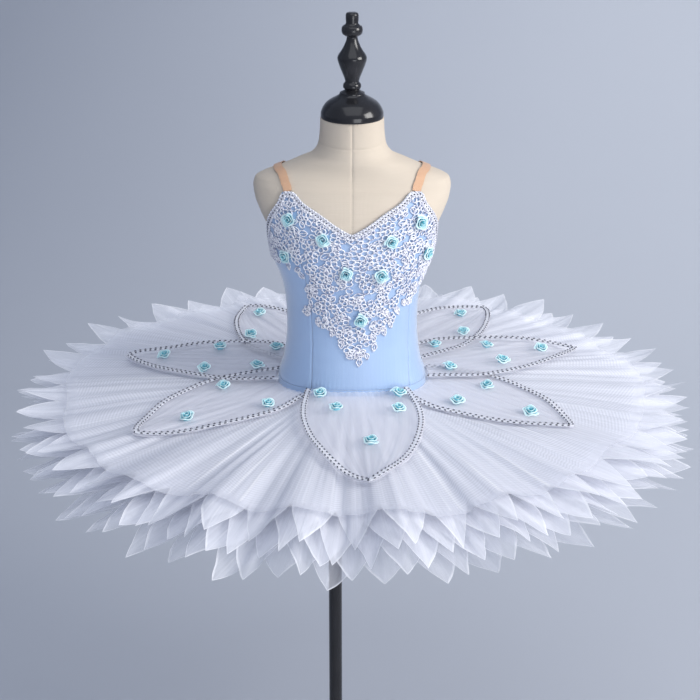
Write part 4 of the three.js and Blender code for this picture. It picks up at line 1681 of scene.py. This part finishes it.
@dataclass
class LaceApplique:
    """Corded floral lace over the bust: flowers, leaves and rings."""

    mm_per_degree: float = 1.667
    lift: float = CLOTH_OUTSIDE + 1.3
    reach: float = 96.0
    rises: Pair = (62.0, 284.0)
    flowers: Spacing = Spacing(15.0, 4.5, 3200)
    leaves: Spacing = Spacing(10.0, 3.4, 2600)
    rings: Spacing = Spacing(7.7, 0.8, 7000)
    flower_size: Pair = (8.0, 9.4)
    five_petals: float = 0.7
    leaf_length: Pair = (10.5, 13.5)
    rim_leaf_length: Pair = (9.0, 13.0)
    ring_size: Pair = (3.2, 4.3)
    middle: Pair = (5.0, 190.0)
    point: Pair = (5.0, 80.0)
    point_leaves: tuple[Pair, ...] = ((-1.9, 13), (-1.35, 14), (-0.75, 13), (-2.5, 12))
    side: Pair = (-58.0, 132.0)
    side_leaves: tuple[Pair, ...] = ((3.3, 16), (2.6, 12), (-2.5, 12))
    seed: int = 11

    def room(self, spot: Array) -> float:
        """Returns how far a spot lies inside the lace's outline, less than 0 outside.

        Args:
            spot: the place on the flat lace.

        Returns:
            The distance in millimetres.
        """
        lead = spot[0] / self.mm_per_degree
        top = float(BODY.top_edge(lead)) - LACE_TOP_INSET
        return min(top - spot[1], spot[1] - self.bottom(lead))

    @staticmethod
    def bottom(lead: float) -> float:
        """Returns the rise of the lace's lower outline."""
        return float(np.interp(lead, *zip(*LACE_LOWER)))

    def spots(self, rng: np.random.Generator, spacing: Spacing, taken: list[Array]) -> list[Array]:
        """Returns spots with a least gap between them and from those taken.

        Args:
            rng: the seeded source of spots.
            spacing: the gap, the margin and how many spots are tried.
            taken: spots that are already used.

        Returns:
            The spots found.
        """
        found: list[Array] = []
        width = self.reach * self.mm_per_degree
        for _ in range(spacing.tries):
            spot = np.array([rng.uniform(-width, width), rng.uniform(*self.rises)])
            if self.room(spot) < spacing.margin:
                continue
            if all(np.hypot(*(spot - other)) > spacing.gap for other in found + taken):
                found.append(spot)
        return found

    @staticmethod
    def turned(points: Array, angle: float, spot: Array) -> Array:
        """Returns flat points turned and moved to a spot."""
        c, s = math.cos(angle), math.sin(angle)
        return points @ np.array([[c, s], [-s, c]]) + spot

    def flower(self, work: CordWork, spot: Array, size: float, angle: float, petals: int) -> None:
        """Lays a flower: rounded petal loops about a beaded ring.

        Args:
            work: the lace that the cords are laid on.
            spot: the place on the flat lace.
            size: its radius.
            angle: its turn in radians.
            petals: how many petals.
        """
        t = np.linspace(0, 2 * np.pi, 10)[:-1]
        for petal in range(petals):
            turn = angle + petal * 2 * math.pi / petals
            # Six petals are each narrower than five.
            width = 0.60 * size * math.sin(math.pi / petals) / math.sin(math.pi / 5)
            loop = np.stack([0.62 * size + 0.38 * size * np.cos(t), width * 0.68 * np.sin(t)], axis=1)
            work.lay(self.turned(loop, turn, spot), 0.92, raised=0.4 * (petal % 2))
        ring = np.stack([np.cos(t), np.sin(t)], axis=1) * 0.22 * size
        work.lay(ring + spot, 0.95, raised=0.6)

    def leaf(self, work: CordWork, spot: Array, length: float, angle: float) -> None:
        """Lays a pointed leaf with its midrib.

        Args:
            work: the lace that the cords are laid on.
            spot: the leaf's root on the flat lace.
            length: its length.
            angle: its turn in radians.
        """
        s = np.linspace(0, 1, 8)
        half = 0.30 * length * np.sin(np.pi * s**0.85)
        upper = np.stack([s * length, half], axis=1)
        loop = np.concatenate([upper, np.stack([s * length, -half], axis=1)[-2:0:-1]])
        work.lay(self.turned(loop, angle, spot), 0.85)
        rib = np.stack([s[:-1] * length, np.zeros(7)], axis=1)
        work.lay(self.turned(rib, angle, spot), 0.6, closed=False, raised=0.2)

    def ring(self, work: CordWork, spot: Array, size: float, angle: float) -> None:
        """Lays a small oval ring.

        Args:
            work: the lace that the cords are laid on.
            spot: the place on the flat lace.
            size: its radius.
            angle: its turn in radians.
        """
        t = np.linspace(0, 2 * np.pi, 9)[:-1]
        loop = np.stack([size * np.cos(t), 0.74 * size * np.sin(t)], axis=1)
        work.lay(self.turned(loop, angle, spot), 0.9, raised=0.2)

    def outward_leaves(self, work: CordWork, rng: np.random.Generator) -> None:
        """Lays leaves that stand out past the lower outline.

        Args:
            work: the lace that the cords are laid on.
            rng: the seeded source of numbers.
        """
        for lead in np.concatenate([np.arange(-33, -6, 6.5), np.arange(10, 84, 7.0)]):
            spot = np.array([lead * self.mm_per_degree, self.bottom(lead) + 3])
            out = math.atan2(*(spot - np.array(self.middle))[::-1]) + rng.uniform(-0.45, 0.45)
            self.leaf(work, spot, rng.uniform(*self.rim_leaf_length), out)
        for place, leaves in ((self.point, self.point_leaves), (self.side, self.side_leaves)):
            for angle, length in leaves:
                self.leaf(work, np.array(place), length, angle)

    def build(self, wardrobe: Wardrobe) -> Piece:
        """Lays every motif and makes the lace one piece.

        Args:
            wardrobe: holds the finishes.

        Returns:
            The lace.
        """
        rng = np.random.default_rng(self.seed)
        work = CordWork("lace_applique_corded", self.mm_per_degree, self.lift)
        flowers = self.spots(rng, self.flowers, [])
        for spot in flowers:
            size, angle = rng.uniform(*self.flower_size), rng.uniform(0, SPIN)
            self.flower(work, spot, size, angle, 5 if rng.random() < self.five_petals else 6)
        leaves = self.spots(rng, self.leaves, flowers)
        for spot in leaves:
            self.leaf(work, spot - 3, rng.uniform(*self.leaf_length), rng.uniform(0, SPIN))
        rings = self.spots(rng, self.rings, flowers + leaves)
        for spot in rings:
            self.ring(work, spot, rng.uniform(*self.ring_size), rng.uniform(0, SPIN / 2))
        self.outward_leaves(work, rng)
        piece = work.finish()
        wardrobe.dress(piece, Finish.LACE)
        log.info("lace: %d flowers, %d leaves, %d rings", len(flowers), len(leaves), len(rings))
        return wear(piece, "lace", "lace_applique")


# Rosettes


@dataclass
class Rosette:
    """A ribbon wound into a rose, squarish where the ribbon is folded over."""

    turns: float = 2.9
    inner: float = 1.3
    outer: float = 9.2
    core_height: float = 8.4
    rim_height: float = 4.6
    corner: float = 0.09
    wall: float = 0.4
    steps: int = 84
    rows: int = 6
    flat: Pair = (0.19, 0.008)

    def place(self, u: Array, v: Array) -> Array:
        """Returns the wound ribbon's points: along it (u), and from its foot to its lip (v).

        Args:
            u: shares along the ribbon.
            v: shares from its foot to its lip.

        Returns:
            The points in millimetres.
        """
        turn = 2 * math.pi * self.turns * u
        corner = 1 + self.corner * np.cos(4 * turn + 3.0 * u)
        lip = (self.inner + (self.outer - self.inner) * u**0.9) * corner
        foot = lip * blend(0.75, 0.5, u)
        curl = smooth((v - 0.8) / 0.2)
        radius = blend(foot, lip, v**1.6) + curl * 0.5 * u
        height = blend(self.core_height, self.rim_height, u**0.8) + 0.8 * np.cos(4 * turn + 0.6) * u
        rise = height * np.sin(v * np.pi / 2) - 0.8 * curl * (0.3 + u)
        return np.stack([radius * np.cos(turn), radius * np.sin(turn), rise], axis=-1)

    def build(self, wardrobe: Wardrobe) -> Piece:
        """Makes the one rosette that all the others are copied from.

        Args:
            wardrobe: holds the finishes.

        Returns:
            The rosette, about the origin.
        """
        piece = cloth_grid("rosette_pattern", self.steps, self.rows, self.place, self.flat)
        row = np.repeat(np.arange(self.rows + 1), self.steps + 1)
        # The rows near the lip are marked for the painted highlight on the rims.
        add_attribute(piece, "edge", smooth((row - 3.2) / 2.8))
        apply_modifier(piece, "SOLIDIFY", thickness=self.wall * MM, offset=0.0)
        shade_smooth(piece, 60)
        wardrobe.dress(piece, Finish.RIBBON)
        return piece


def rosette_matrix(seat: Array, normal: Array, spin: float, size: float) -> Matrix:
    """Returns the matrix that stands a rosette on its seat.

    Args:
        seat: the seat in millimetres.
        normal: the cloth's normal there.
        spin: the rosette's turn about the normal.
        size: its scale.

    Returns:
        The matrix, in metres.
    """
    up = Vector(normal).normalized()
    across = Vector((1, 0, 0)) - up * up.x
    across.normalize()
    axes = Matrix((across, up.cross(across), up)).transposed().to_4x4()
    turned = axes @ Matrix.Rotation(spin, 4, "Z") @ Matrix.Scale(size, 4)
    return Matrix.Translation(Vector(seat) * MM) @ turned


@dataclass
class BodiceRosettes:
    """The nine rosettes sewn over the lace."""

    seat: float = CLOTH_OUTSIDE + 1.6
    places: tuple[Pair, ...] = (
        # lead, rise
        (-38, 256), (-49, 206), (-16, 234), (-3, 190), (18, 188), (23, 230), (43, 252), (60, 208),
        (5, 124),
    )
    sizes: Pair = (1.02, 1.14)
    seed: int = 5

    def build(self, pattern: Piece) -> None:
        """Copies the rosette to each place.

        Args:
            pattern: the rosette to copy.
        """
        rng = np.random.default_rng(self.seed)
        for index, (lead, rise) in enumerate(self.places, 1):
            seat = BODY.point(float(lead), float(rise), self.seat)
            normal = BODY.normal(float(lead), float(rise))
            matrix = rosette_matrix(seat, normal, rng.uniform(0, SPIN), rng.uniform(*self.sizes))
            piece = copy_piece(pattern, f"rosette_bodice_{index}_ribbon", matrix)
            wear(piece, "rosette", f"rosette_bodice_{index}")


# Net skirt


@dataclass
class NetSkirt:
    """Six pleated rings of stiff net, gathered to the brief.

    The top ring has a plain hem. The others are cut into long dags, each with its own length,
    droop, lean, curl, twist, pinch and fold.
    """

    layers: int = 6
    top_drop: float = 8.0
    root_step: float = 7.5
    rim_step: float = 12.0
    reach: float = 472.0
    body_gap: float = 0.3
    knee: float = 340.0
    knee_share: float = 0.85
    front_fade: float = 1.5
    front_extra: float = 6.0
    cut_front: float = 6.5
    cut_side: float = 2.0
    cut_back: float = -1.0
    flutes: int = 22
    crease: float = 0.85
    flute_start: float = 180.0
    flute_run: float = 290.0
    flute_front: float = 7.5
    flute_back: float = 4.0
    dags: int = 44
    dag_side: float = 57.0
    dag_front: float = 80.0
    front_hang: float = 5.0
    tip_lift: tuple[float, ...] = (0.0, 7.0, 4.0, 2.0, -1.0, 0.0)
    dag_steps: int = 22
    dag_round: Pair = (0.66, 0.92)
    dag_length: float = 0.93
    dag_vary: float = 0.1
    dag_pinch: Pair = (-0.5, 0.6)
    notch_depth: float = 14.0
    steepest: float = 0.08
    fold_sharpness: float = 8.0
    layer_turn: float = 0.13
    seed: int = 40
    top_reach: float = 402.0
    top_fall: float = 5.0
    top_fall_start: float = 300.0
    top_fall_run: float = 120.0
    flat_rows: int = 15
    dag_rows: int = 13
    edge: float = 1.3
    folded_edge: float = 3.6
    pleat_height: float = 2.7
    pleat_swing: float = 1.9
    top_pleats: int = 76
    top_pleat: float = 0.6
    top_flat: Pair = (2.6, 0.33)
    top_area: float = 0.62
    dag_flat: Pair = (2.75, 0.39)
    dag_area: float = 0.8
    finishes: tuple[Finish, ...] = (Finish.TOP_NET, *[Finish.NET] * 3, *[Finish.LOW_NET] * 2)

    def front_share(self, bearing: Array) -> Array:
        """Returns how much a bearing faces the front, 0 to 1."""
        return np.maximum(0, -np.sin(bearing)) ** self.front_fade

    def root_rise(self, layer: int, bearing: Array) -> Array:
        """Returns the rise at which a layer is sewn to the brief."""
        return BODY.hem_edge(np.degrees(bearing) + 90) - self.top_drop - self.root_step * layer

    def layer_reach(self, layer: int, bearing: Array) -> Array:
        """Returns how far out a layer's tips, or the top layer's plain hem, reach.

        Args:
            layer: the layer, from 0 at the top.
            bearing: bearings in radians.

        Returns:
            Distances from the axis.
        """
        if layer == 0:
            wander = 6 * np.sin(5 * bearing + 1) + 4 * np.sin(13 * bearing)
            return self.top_reach + wander
        above = self.layers - 1 - layer
        front, back = self.front_share(bearing), np.maximum(0, np.sin(bearing))
        cut = blend(blend(self.cut_side, self.cut_front, front), self.cut_back, back)
        return self.reach + self.front_extra * front - above * cut

    def flute(self, bearing: Array, radius: Array) -> Array:
        """Returns the height of the broad flutes, which open towards the rim.

        Args:
            bearing: bearings in radians.
            radius: distances from the axis.

        Returns:
            Heights in millimetres.
        """
        size = blend(self.flute_back, self.flute_front, self.front_share(bearing))
        wander = 0.5 * np.sin(3 * bearing + 1) + 0.35 * np.sin(7 * bearing)
        turn = self.flutes * bearing + wander
        wave = np.arcsin(self.crease * np.cos(turn)) / math.asin(self.crease)
        return size * smooth((radius - self.flute_start) / self.flute_run) * wave

    def surface(self, layer: int, bearing: Array, radius: Array) -> Array:
        """Returns the rise of a layer without its fine pleats.

        Args:
            layer: the layer, from 0 at the top.
            bearing: bearings in radians.
            radius: distances from the axis.

        Returns:
            Rises over the hip line.
        """
        root = self.root_rise(layer, bearing)
        start = BODY.radius_at(bearing, root, CLOTH_OUTSIDE + self.body_gap)
        rim = -self.rim_step * layer
        knee = blend(root, rim, self.knee_share)
        inner = np.clip((radius - start) / (self.knee - start), 0, 1)
        outer = np.clip((radius - self.knee) / (self.reach - self.knee), 0, 1)
        return blend(root, knee, inner) + (rim - knee) * outer + self.flute(bearing, radius)

    def draws(self, layer: int, dag: Array) -> dict[str, Array]:
        """Returns random numbers that are the same all over one dag.

        Args:
            layer: the layer, which seeds them.
            dag: the dag that each point belongs to.

        Returns:
            One array for each of the things that differ from dag to dag.
        """
        rng = np.random.default_rng(self.seed + layer)
        names = ("length", "droop", "lean", "curl", "twist")
        draws = {name: rng.uniform(-1, 1, self.dags)[dag] for name in names}
        draws["pinch"] = np.clip(rng.uniform(*self.dag_pinch, self.dags), 0, 1)[dag]
        draws["power"] = rng.uniform(*self.dag_round, self.dags)[dag]
        draws["side"] = rng.choice((-1, 1), self.dags)[dag]
        return draws

    def layer_points(self, layer: int, u: Array, v: Array) -> Array:
        """Returns a layer's points for shares round it and out along it.

        Args:
            layer: the layer, from 0 at the top.
            u: shares round the ring.
            v: shares out from the root, the last row being the cut edge.

        Returns:
            The points in millimetres.
        """
        top = layer == 0
        rows = self.flat_rows + self.dag_rows
        row = np.rint(v * rows)
        turn = 0.5 * (layer % 2) + self.layer_turn * layer
        bearing = -2 * np.pi * u + turn * 2 * np.pi / self.dags

        # Each dag runs from f = 0 to 1, and t is 0 at its tip and 1 in the notches.
        whole = np.floor(u * self.dags + 1e-6)
        f = u * self.dags - whole
        t = np.clip(np.abs(2 * f - 1), 0, 1)
        draw = self.draws(layer, whole.astype(int) % self.dags)
        power = draw["power"]

        # The cut edge, and a narrow hem inside it that is wider on the side folded over.
        reach = self.layer_reach(layer, bearing)
        full = 0 if top else blend(self.dag_side, self.dag_front, self.front_share(bearing))
        notch = reach - full
        length = full * (self.dag_length + self.dag_vary * draw["length"])
        out = notch + length * (1 - t) ** power
        pitch = 2 * np.pi * self.reach / self.dags
        slope = length * power * np.maximum(1 - t, self.steepest) ** (power - 1) * 2 / pitch
        base = notch - self.notch_depth
        folded = (0 if top else 1) * smooth(draw["side"] * (2 * f - 1) * self.fold_sharpness)
        edge = blend(self.edge, self.folded_edge, folded) * np.sqrt(1 + slope**2)
        inner = out - np.minimum(edge, 0.4 * (out - base))

        # Rows are laid from the root to the notches' foot, then over the dags to the cut edge.
        root = BODY.radius_at(bearing, self.root_rise(layer, bearing), CLOTH_OUTSIDE + self.body_gap)
        flat_share = np.clip(row / self.flat_rows, 0, 1)
        dag_share = np.clip((row - self.flat_rows) / (self.dag_rows - 1), 0, 1)
        radius = blend(root, base, flat_share**0.9)
        radius = np.where(row > self.flat_rows, blend(base, inner, dag_share), radius)
        radius = np.where(row >= rows, out, radius)
        share = (radius - root) / (self.reach - root)

        # Fine pleats swing the cloth sideways as well as up and down.
        pleats = self.top_pleats if top else 2 * self.dags
        phase = 2 * np.pi * pleats * u + 1.5 * np.sin(11 * bearing + layer) + 0.9 * np.sin(29 * bearing)
        swell = 0.6 + 0.4 * np.sin(9 * bearing + 2.1 * layer) * np.sin(5 * bearing + 1.3)
        fade = smooth(share * 1.6) * swell * (self.top_pleat if top else 1 - 0.7 * dag_share)
        rise = self.surface(layer, bearing, radius) + self.pleat_height * fade * np.sin(phase)
        swing = -self.pleat_swing * fade * np.sin(2 * phase)
        if top:
            rise -= self.top_fall * smooth((radius - self.top_fall_start) / self.top_fall_run)
        else:
            w = np.clip((radius - base) / (reach - base), 0, 1.1)
            hang = self.front_hang * (self.layers - 1 - layer) * self.front_share(bearing)
            rise += (self.tip_lift[layer] + 3.5 * draw["droop"] - hang) * w**2
            rise += draw["side"] * (2 * f - 1) * (3 + 2 * draw["twist"]) * w
            rise += draw["pinch"] * 7 * (0.6 - t) * w * np.sign(draw["curl"])
            rise += 2 * draw["curl"] * (t**2 - 0.35) * w
            swing += 8 * draw["lean"] * w**2
            swing -= draw["pinch"] * 0.6 * (f - 0.5) * pitch * smooth(w * 1.3)
        across = np.stack([np.sin(bearing), -np.cos(bearing)], axis=-1) * swing[:, None]
        place = np.stack([np.cos(bearing), np.sin(bearing)], axis=-1) * radius[:, None] + across
        return np.concatenate([place, (HIP_HEIGHT + rise)[:, None]], axis=1)

    def build_layer(self, layer: int, wardrobe: Wardrobe) -> Piece:
        """Makes one layer.

        Args:
            layer: the layer, from 0 at the top.
            wardrobe: holds the finishes.

        Returns:
            The layer.
        """
        rows = self.flat_rows + self.dag_rows
        columns = self.dags * self.dag_steps
        flat, area = (self.dag_flat, self.dag_area) if layer else (self.top_flat, self.top_area)
        node = f"net_layer_{layer + 1}"
        piece = cloth_grid(
            node + "_pleated", columns, rows, lambda u, v: self.layer_points(layer, u, v), flat,
        )
        cut = np.repeat(np.arange(rows + 1), columns + 1) >= rows
        add_attribute(piece, "hem", cut.astype(float))
        merge_doubles(piece)
        wardrobe.dress(piece, self.finishes[layer])
        wear(piece, "net", node)
        return piece

    def build(self, wardrobe: Wardrobe) -> None:
        """Makes all the layers."""
        for layer in range(self.layers):
            self.build_layer(layer, wardrobe)


# Petals


@dataclass
class PetalPlan:
    """Where one petal lies on the skirt, and its rosettes."""

    name: str
    tip: Pair
    heading: float
    level: int
    gap: float
    rosettes: tuple[Pair, ...]
    half: float = 92.0
    base_share: float = 0.8


PETALS = (
    PetalPlan(
        "front", (21, -345), -88, 3, 2.2,
        ((-21, -140), (24, -237), (60, -140), (-43, -95), (62, -91)), half=96, base_share=0.96,
    ),
    PetalPlan("front_left", (-283, -192), -137, 1, 4.5, ((-175, -42), (-216, -147), (-112, -113))),
    PetalPlan(
        "left", (-325, 89), 171, 2, 4.5,
        ((-267, 79), (-206, 25), (-190, 107), (-133, 26), (-109, 99)),
    ),
    PetalPlan("back_left", (-165, 318), 117, 0, 4.5, ((-141, 274), (-149, 169))),
    PetalPlan("back_right", (206, 316), 55, 1, 4.5, ((166, 270), (164, 178))),
    PetalPlan(
        "right", (329, 130), 18, 2, 4.5,
        ((273, 115), (212, 55), (194, 115), (120, 111), (136, 21)),
    ),
    PetalPlan("front_right", (290, -164), -40, 0, 4.5, ((236, -120), (140, -96), (185, -35))),
)


@dataclass
class Petal:
    """One sheer petal lying on the top net, edged with bead braid and sewn with rosettes."""

    plan: PetalPlan
    skirt: NetSkirt
    length: float = 257.0
    base_end: float = 0.35
    rounding: float = 0.75
    gather: float = 3.0
    clear: float = 2.6
    step: float = 1.6
    tuck: float = 0.9
    columns: int = 72
    rows: int = 96
    tuck_start: float = 95.0
    tuck_run: float = 45.0
    braid_inset: float = 5.6
    braid_lift: float = 0.7
    braid_width: float = 7.2
    braid_pitch: float = 7.8
    braid_step: float = 2.0
    rosette_sizes: Pair = (1.08, 1.22)
    flat: Pair = (0.184, 0.262)
    area: float = 0.0385

    def spread(self, along: Array, across: Array) -> Array:
        """Returns places seen from above, for shares of the length and the half width.

        Args:
            along: shares of the length, 0 at the root.
            across: shares of the half width, -1 to 1.

        Returns:
            Places seen from above, as rows of x and y.
        """
        heading = math.radians(self.plan.heading)
        out = np.array([math.cos(heading), math.sin(heading)])
        aside = np.array([-out[1], out[0]])

        def free(length: Array) -> Array:
            """Returns places on the flat petal, before its root is drawn in to the bodice.

            Args:
                length: shares of the length, 0 at the root.

            Returns:
                Rows of x and y.
            """
            base = blend(self.plan.base_share, 1, smooth(length / self.base_end))
            half = self.plan.half * base * np.maximum(1 - length**2, 0) ** self.rounding
            lengthwise = ((length - 1) * self.length)[:, None] * out
            return np.array(self.plan.tip) + lengthwise + (across * half)[:, None] * aside

        start = free(np.zeros_like(along))
        bearing = np.arctan2(start[:, 1], start[:, 0])
        rise = self.skirt.root_rise(0, bearing) + self.skirt.top_drop
        radius = BODY.radius_at(bearing, rise, CLOTH_OUTSIDE + self.plan.gap)
        pull = np.stack([np.cos(bearing), np.sin(bearing)], axis=1) * radius[:, None] - start
        return free(along) + pull * ((1 - along) ** self.gather)[:, None]

    def cover(self, place: Array, lift: float = 0.0) -> Array:
        """Returns points on the petal over places seen from above.

        Args:
            place: places seen from above.
            lift: how far over the petal.

        Returns:
            The points in millimetres.
        """
        bearing = np.arctan2(place[:, 1], place[:, 0])
        radius = np.hypot(place[:, 0], place[:, 1])
        ramp = blend(self.tuck, 1, smooth((radius - self.tuck_start) / self.tuck_run))
        over = (self.clear + self.plan.level * self.step) * ramp
        rise = self.skirt.surface(0, bearing, radius) + over + lift
        return np.concatenate([place, (HIP_HEIGHT + rise)[:, None]], axis=1)

    def place(self, u: Array, v: Array) -> Array:
        """Returns the petal's points, softly creased from root to tip.

        Args:
            u: shares across the cloth.
            v: shares up the cloth.

        Returns:
            The points in millimetres.
        """
        across = 1 - 2 * u
        points = self.cover(self.spread(v, across))
        crease = 0.5 * np.sin(31 * u + 4 * np.sin(3 * u)) + 0.35 * np.sin(57 * u + self.plan.level)
        crease = crease * (0.35 + 0.65 * v) * (1 - v**6)
        gathers = 0.6 * np.sin(2 * np.pi * 19 * u) * np.exp(-v / 0.06)
        lifted = 0.7 * np.sin(2 * np.pi * 5 * v + 9 * u) * smooth((np.abs(across) - 0.93) / 0.07)
        points[:, 2] += crease + gathers + lifted
        return points

    def outline(self) -> Array:
        """Returns the braid's path seen from above, from one root round the tip to the other.

        Returns:
            Rows of x and y, inside the rim by the inset.
        """
        # Places crowd towards the tip, where the outline turns.
        tip = 1 - 0.14 * (1 - np.linspace(0, 1, 60)) ** 2.4
        along = np.concatenate([np.linspace(0, 0.86, 60), tip])
        sides = [self.spread(along, np.full_like(along, side)) for side in (-1.0, 1.0)]
        rim = np.concatenate([sides[0], sides[1][::-1]])
        middle = self.spread(np.array([0.55]), np.array([0.0]))[0]
        run = unit(np.gradient(rim, axis=0))
        aside = np.stack([-run[:, 1], run[:, 0]], axis=1)
        inward = aside * np.sign(((middle - rim) * aside).sum(axis=1))[:, None]
        path = rim + inward * self.braid_inset
        keep = [0]
        for index in range(1, len(path)):
            ahead = path[index] - path[keep[-1]]
            if np.hypot(*ahead) > self.braid_step and float(ahead @ run[index]) > 0:
                keep.append(index)
        return path[keep]

    def braid(self, wardrobe: Wardrobe) -> Piece:
        """Makes the bead braid round the petal.

        Args:
            wardrobe: holds the finishes.

        Returns:
            The braid.
        """
        centres = self.cover(self.outline(), self.braid_lift)
        run = unit(np.gradient(centres, axis=0))
        level_side = unit(np.cross(run, np.array([0.0, 0.0, 1.0])))
        normals = unit(np.cross(level_side, run))
        node = f"petal_braid_{self.plan.name}"
        size = self.braid_width, self.braid_pitch
        return BeadBraid(node + "_beaded", centres, normals, TWIN_ROWS, *size).build(wardrobe, node)

    def rosettes(self, pattern: Piece, rng: np.random.Generator) -> Piece:
        """Copies the rosettes to the petal and joins them.

        Args:
            pattern: the rosette to copy.
            rng: the seeded source of numbers.

        Returns:
            The rosettes as one piece.
        """
        name, pieces = f"petal_{self.plan.name}_rosettes", []
        for index, spot in enumerate(self.plan.rosettes, 1):
            seat = self.cover(np.array([spot], float), 0.2)[0]
            lean = np.array([rng.uniform(-0.2, 0.2), rng.uniform(-0.5, -0.1), 1.0])
            matrix = rosette_matrix(seat, lean, rng.uniform(0, SPIN), rng.uniform(*self.rosette_sizes))
            pieces.append(copy_piece(pattern, f"{name}_{index}", matrix))
        joined = join_pieces(pieces)
        joined.name = name
        return wear(joined, "rosette")

    def build(self, wardrobe: Wardrobe, pattern: Piece, rng: np.random.Generator) -> None:
        """Makes the petal, its braid and its rosettes.

        Args:
            wardrobe: holds the finishes.
            pattern: the rosette to copy.
            rng: the seeded source of numbers.
        """
        name = f"petal_{self.plan.name}"
        piece = cloth_grid(name + "_sheer", self.columns, self.rows, self.place, self.flat)
        u = np.tile(np.arange(self.columns + 1), self.rows + 1)
        edge = (u == 0) | (u == self.columns)
        add_attribute(piece, "hem", edge.astype(float))
        merge_doubles(piece)
        wardrobe.dress(piece, Finish.SHEER)
        wear(piece, "petal", name)
        self.braid(wardrobe)
        self.rosettes(pattern, rng)


# Studio


@dataclass
class Studio:
    """The pale floor that sweeps up behind, soft light from the right, and the camera."""

    lens: float = 92.57
    sensor: float = 36.0
    place: Triple = (-0.0028, -2.318, 1.6315)
    pitch: float = 69.1
    width: float = 16000.0
    depth: float = 14000.0
    front: float = 5000.0
    bend_start: float = 1500.0
    bend_radius: float = 3000.0
    surround: tuple[float, ...] = (0.62, 0.71, 0.92, 1)
    surround_strength: float = 0.46
    see_through: int = 48

    def camera(self) -> None:
        """Sets the camera at the photograph's angle."""
        deselect()
        bpy.ops.object.camera_add(location=self.place, rotation=(math.radians(self.pitch), 0, 0))
        camera = bpy.context.object
        camera.data.lens = self.lens
        camera.data.sensor_width = self.sensor
        bpy.context.scene.camera = camera

    def floor(self, wardrobe: Wardrobe) -> None:
        """Lays the paper floor, curved up into a wall behind.

        Args:
            wardrobe: holds the finishes.
        """

        def sweep(u: Array, v: Array) -> Array:
            """Returns the paper's points for shares across and along it.

            Args:
                u: shares across the paper.
                v: shares from the front to the back.

            Returns:
                The points in millimetres.
            """
            start, radius = self.bend_start, self.bend_radius
            x = (u - 0.5) * self.width
            run = v * self.depth - self.front
            bend = np.clip((run - start) / radius, 0, np.pi / 2)
            y = np.where(run < start, run, start + radius * np.sin(bend))
            z = np.where(run < start, 0, radius * (1 - np.cos(bend)))
            z += np.maximum(run - start - radius * np.pi / 2, 0)
            return np.stack([x, y, z - 0.5], axis=-1)

        paper = cloth_grid("studio_floor", 4, 140, sweep)
        wardrobe.dress(paper, Finish.PAPER)

    def lamp(self, name: str, place: Triple, aim: Triple, size: float, watts: float, tint: Colour) -> None:
        """Hangs one soft lamp.

        Args:
            name: the lamp's name.
            place: where it hangs.
            aim: what it points at.
            size: its side in metres.
            watts: its strength.
            tint: its colour.
        """
        deselect()
        bpy.ops.object.light_add(type="AREA", location=place)
        lamp = bpy.context.object
        lamp.name = name
        lamp.rotation_euler = (Vector(aim) - Vector(place)).to_track_quat("-Z", "Y").to_euler()
        lamp.data.shape = "SQUARE"
        lamp.data.size = size
        lamp.data.energy = watts
        lamp.data.color = tint

    def light(self) -> None:
        """Lights the studio from the right, with a weak fill and a grey surround."""
        self.lamp("key", (2.6, -1.1, 2.1), (0, 0, 0.75), 1.5, 76, (1.0, 0.98, 0.96))
        self.lamp("front", (1.1, -3.1, 0.45), (0, -0.3, 0.7), 1.6, 31, (0.95, 0.97, 1.0))
        self.lamp("above", (0.1, -1.1, 3.1), (0, 0, 0.7), 2.4, 20, (0.95, 0.97, 1.0))
        self.lamp("backdrop", (0.5, 1.4, 2.8), (0.2, 4.2, 0.6), 2.0, 32, (0.97, 0.98, 1.0))
        world = bpy.context.scene.world or bpy.data.worlds.new("studio")
        bpy.context.scene.world = world
        world.use_nodes = True
        background = world.node_tree.nodes["Background"]
        background.inputs["Color"].default_value = self.surround
        background.inputs["Strength"].default_value = self.surround_strength

    def build(self, wardrobe: Wardrobe) -> None:
        """Sets up the whole studio.

        Args:
            wardrobe: holds the finishes.
        """
        self.camera()
        self.floor(wardrobe)
        self.light()
        scene = bpy.context.scene
        scene.cycles.transparent_max_bounces = self.see_through
        scene.view_settings.view_transform = "Standard"


def main() -> None:
    """Builds every part in order."""
    logging.basicConfig(level=logging.INFO, format="%(name)s %(message)s")
    wardrobe = Wardrobe()
    Studio().build(wardrobe)
    DressForm().build(wardrobe)
    Stand().build(wardrobe)
    Bodice().build(wardrobe)
    Brief().build(wardrobe)
    for name, side in (("strap_left", -1), ("strap_right", 1)):
        Strap(name, side).build(wardrobe)
    EdgeBraids().build(wardrobe)
    LaceApplique().build(wardrobe)
    pattern = Rosette().build(wardrobe)
    BodiceRosettes().build(pattern)
    skirt = NetSkirt()
    skirt.build(wardrobe)
    rng = np.random.default_rng(7)
    for plan in PETALS:
        Petal(plan, skirt).build(wardrobe, pattern, rng)
    bpy.data.objects.remove(pattern)
    log.info("done")


if __name__ == "__main__":
    main()
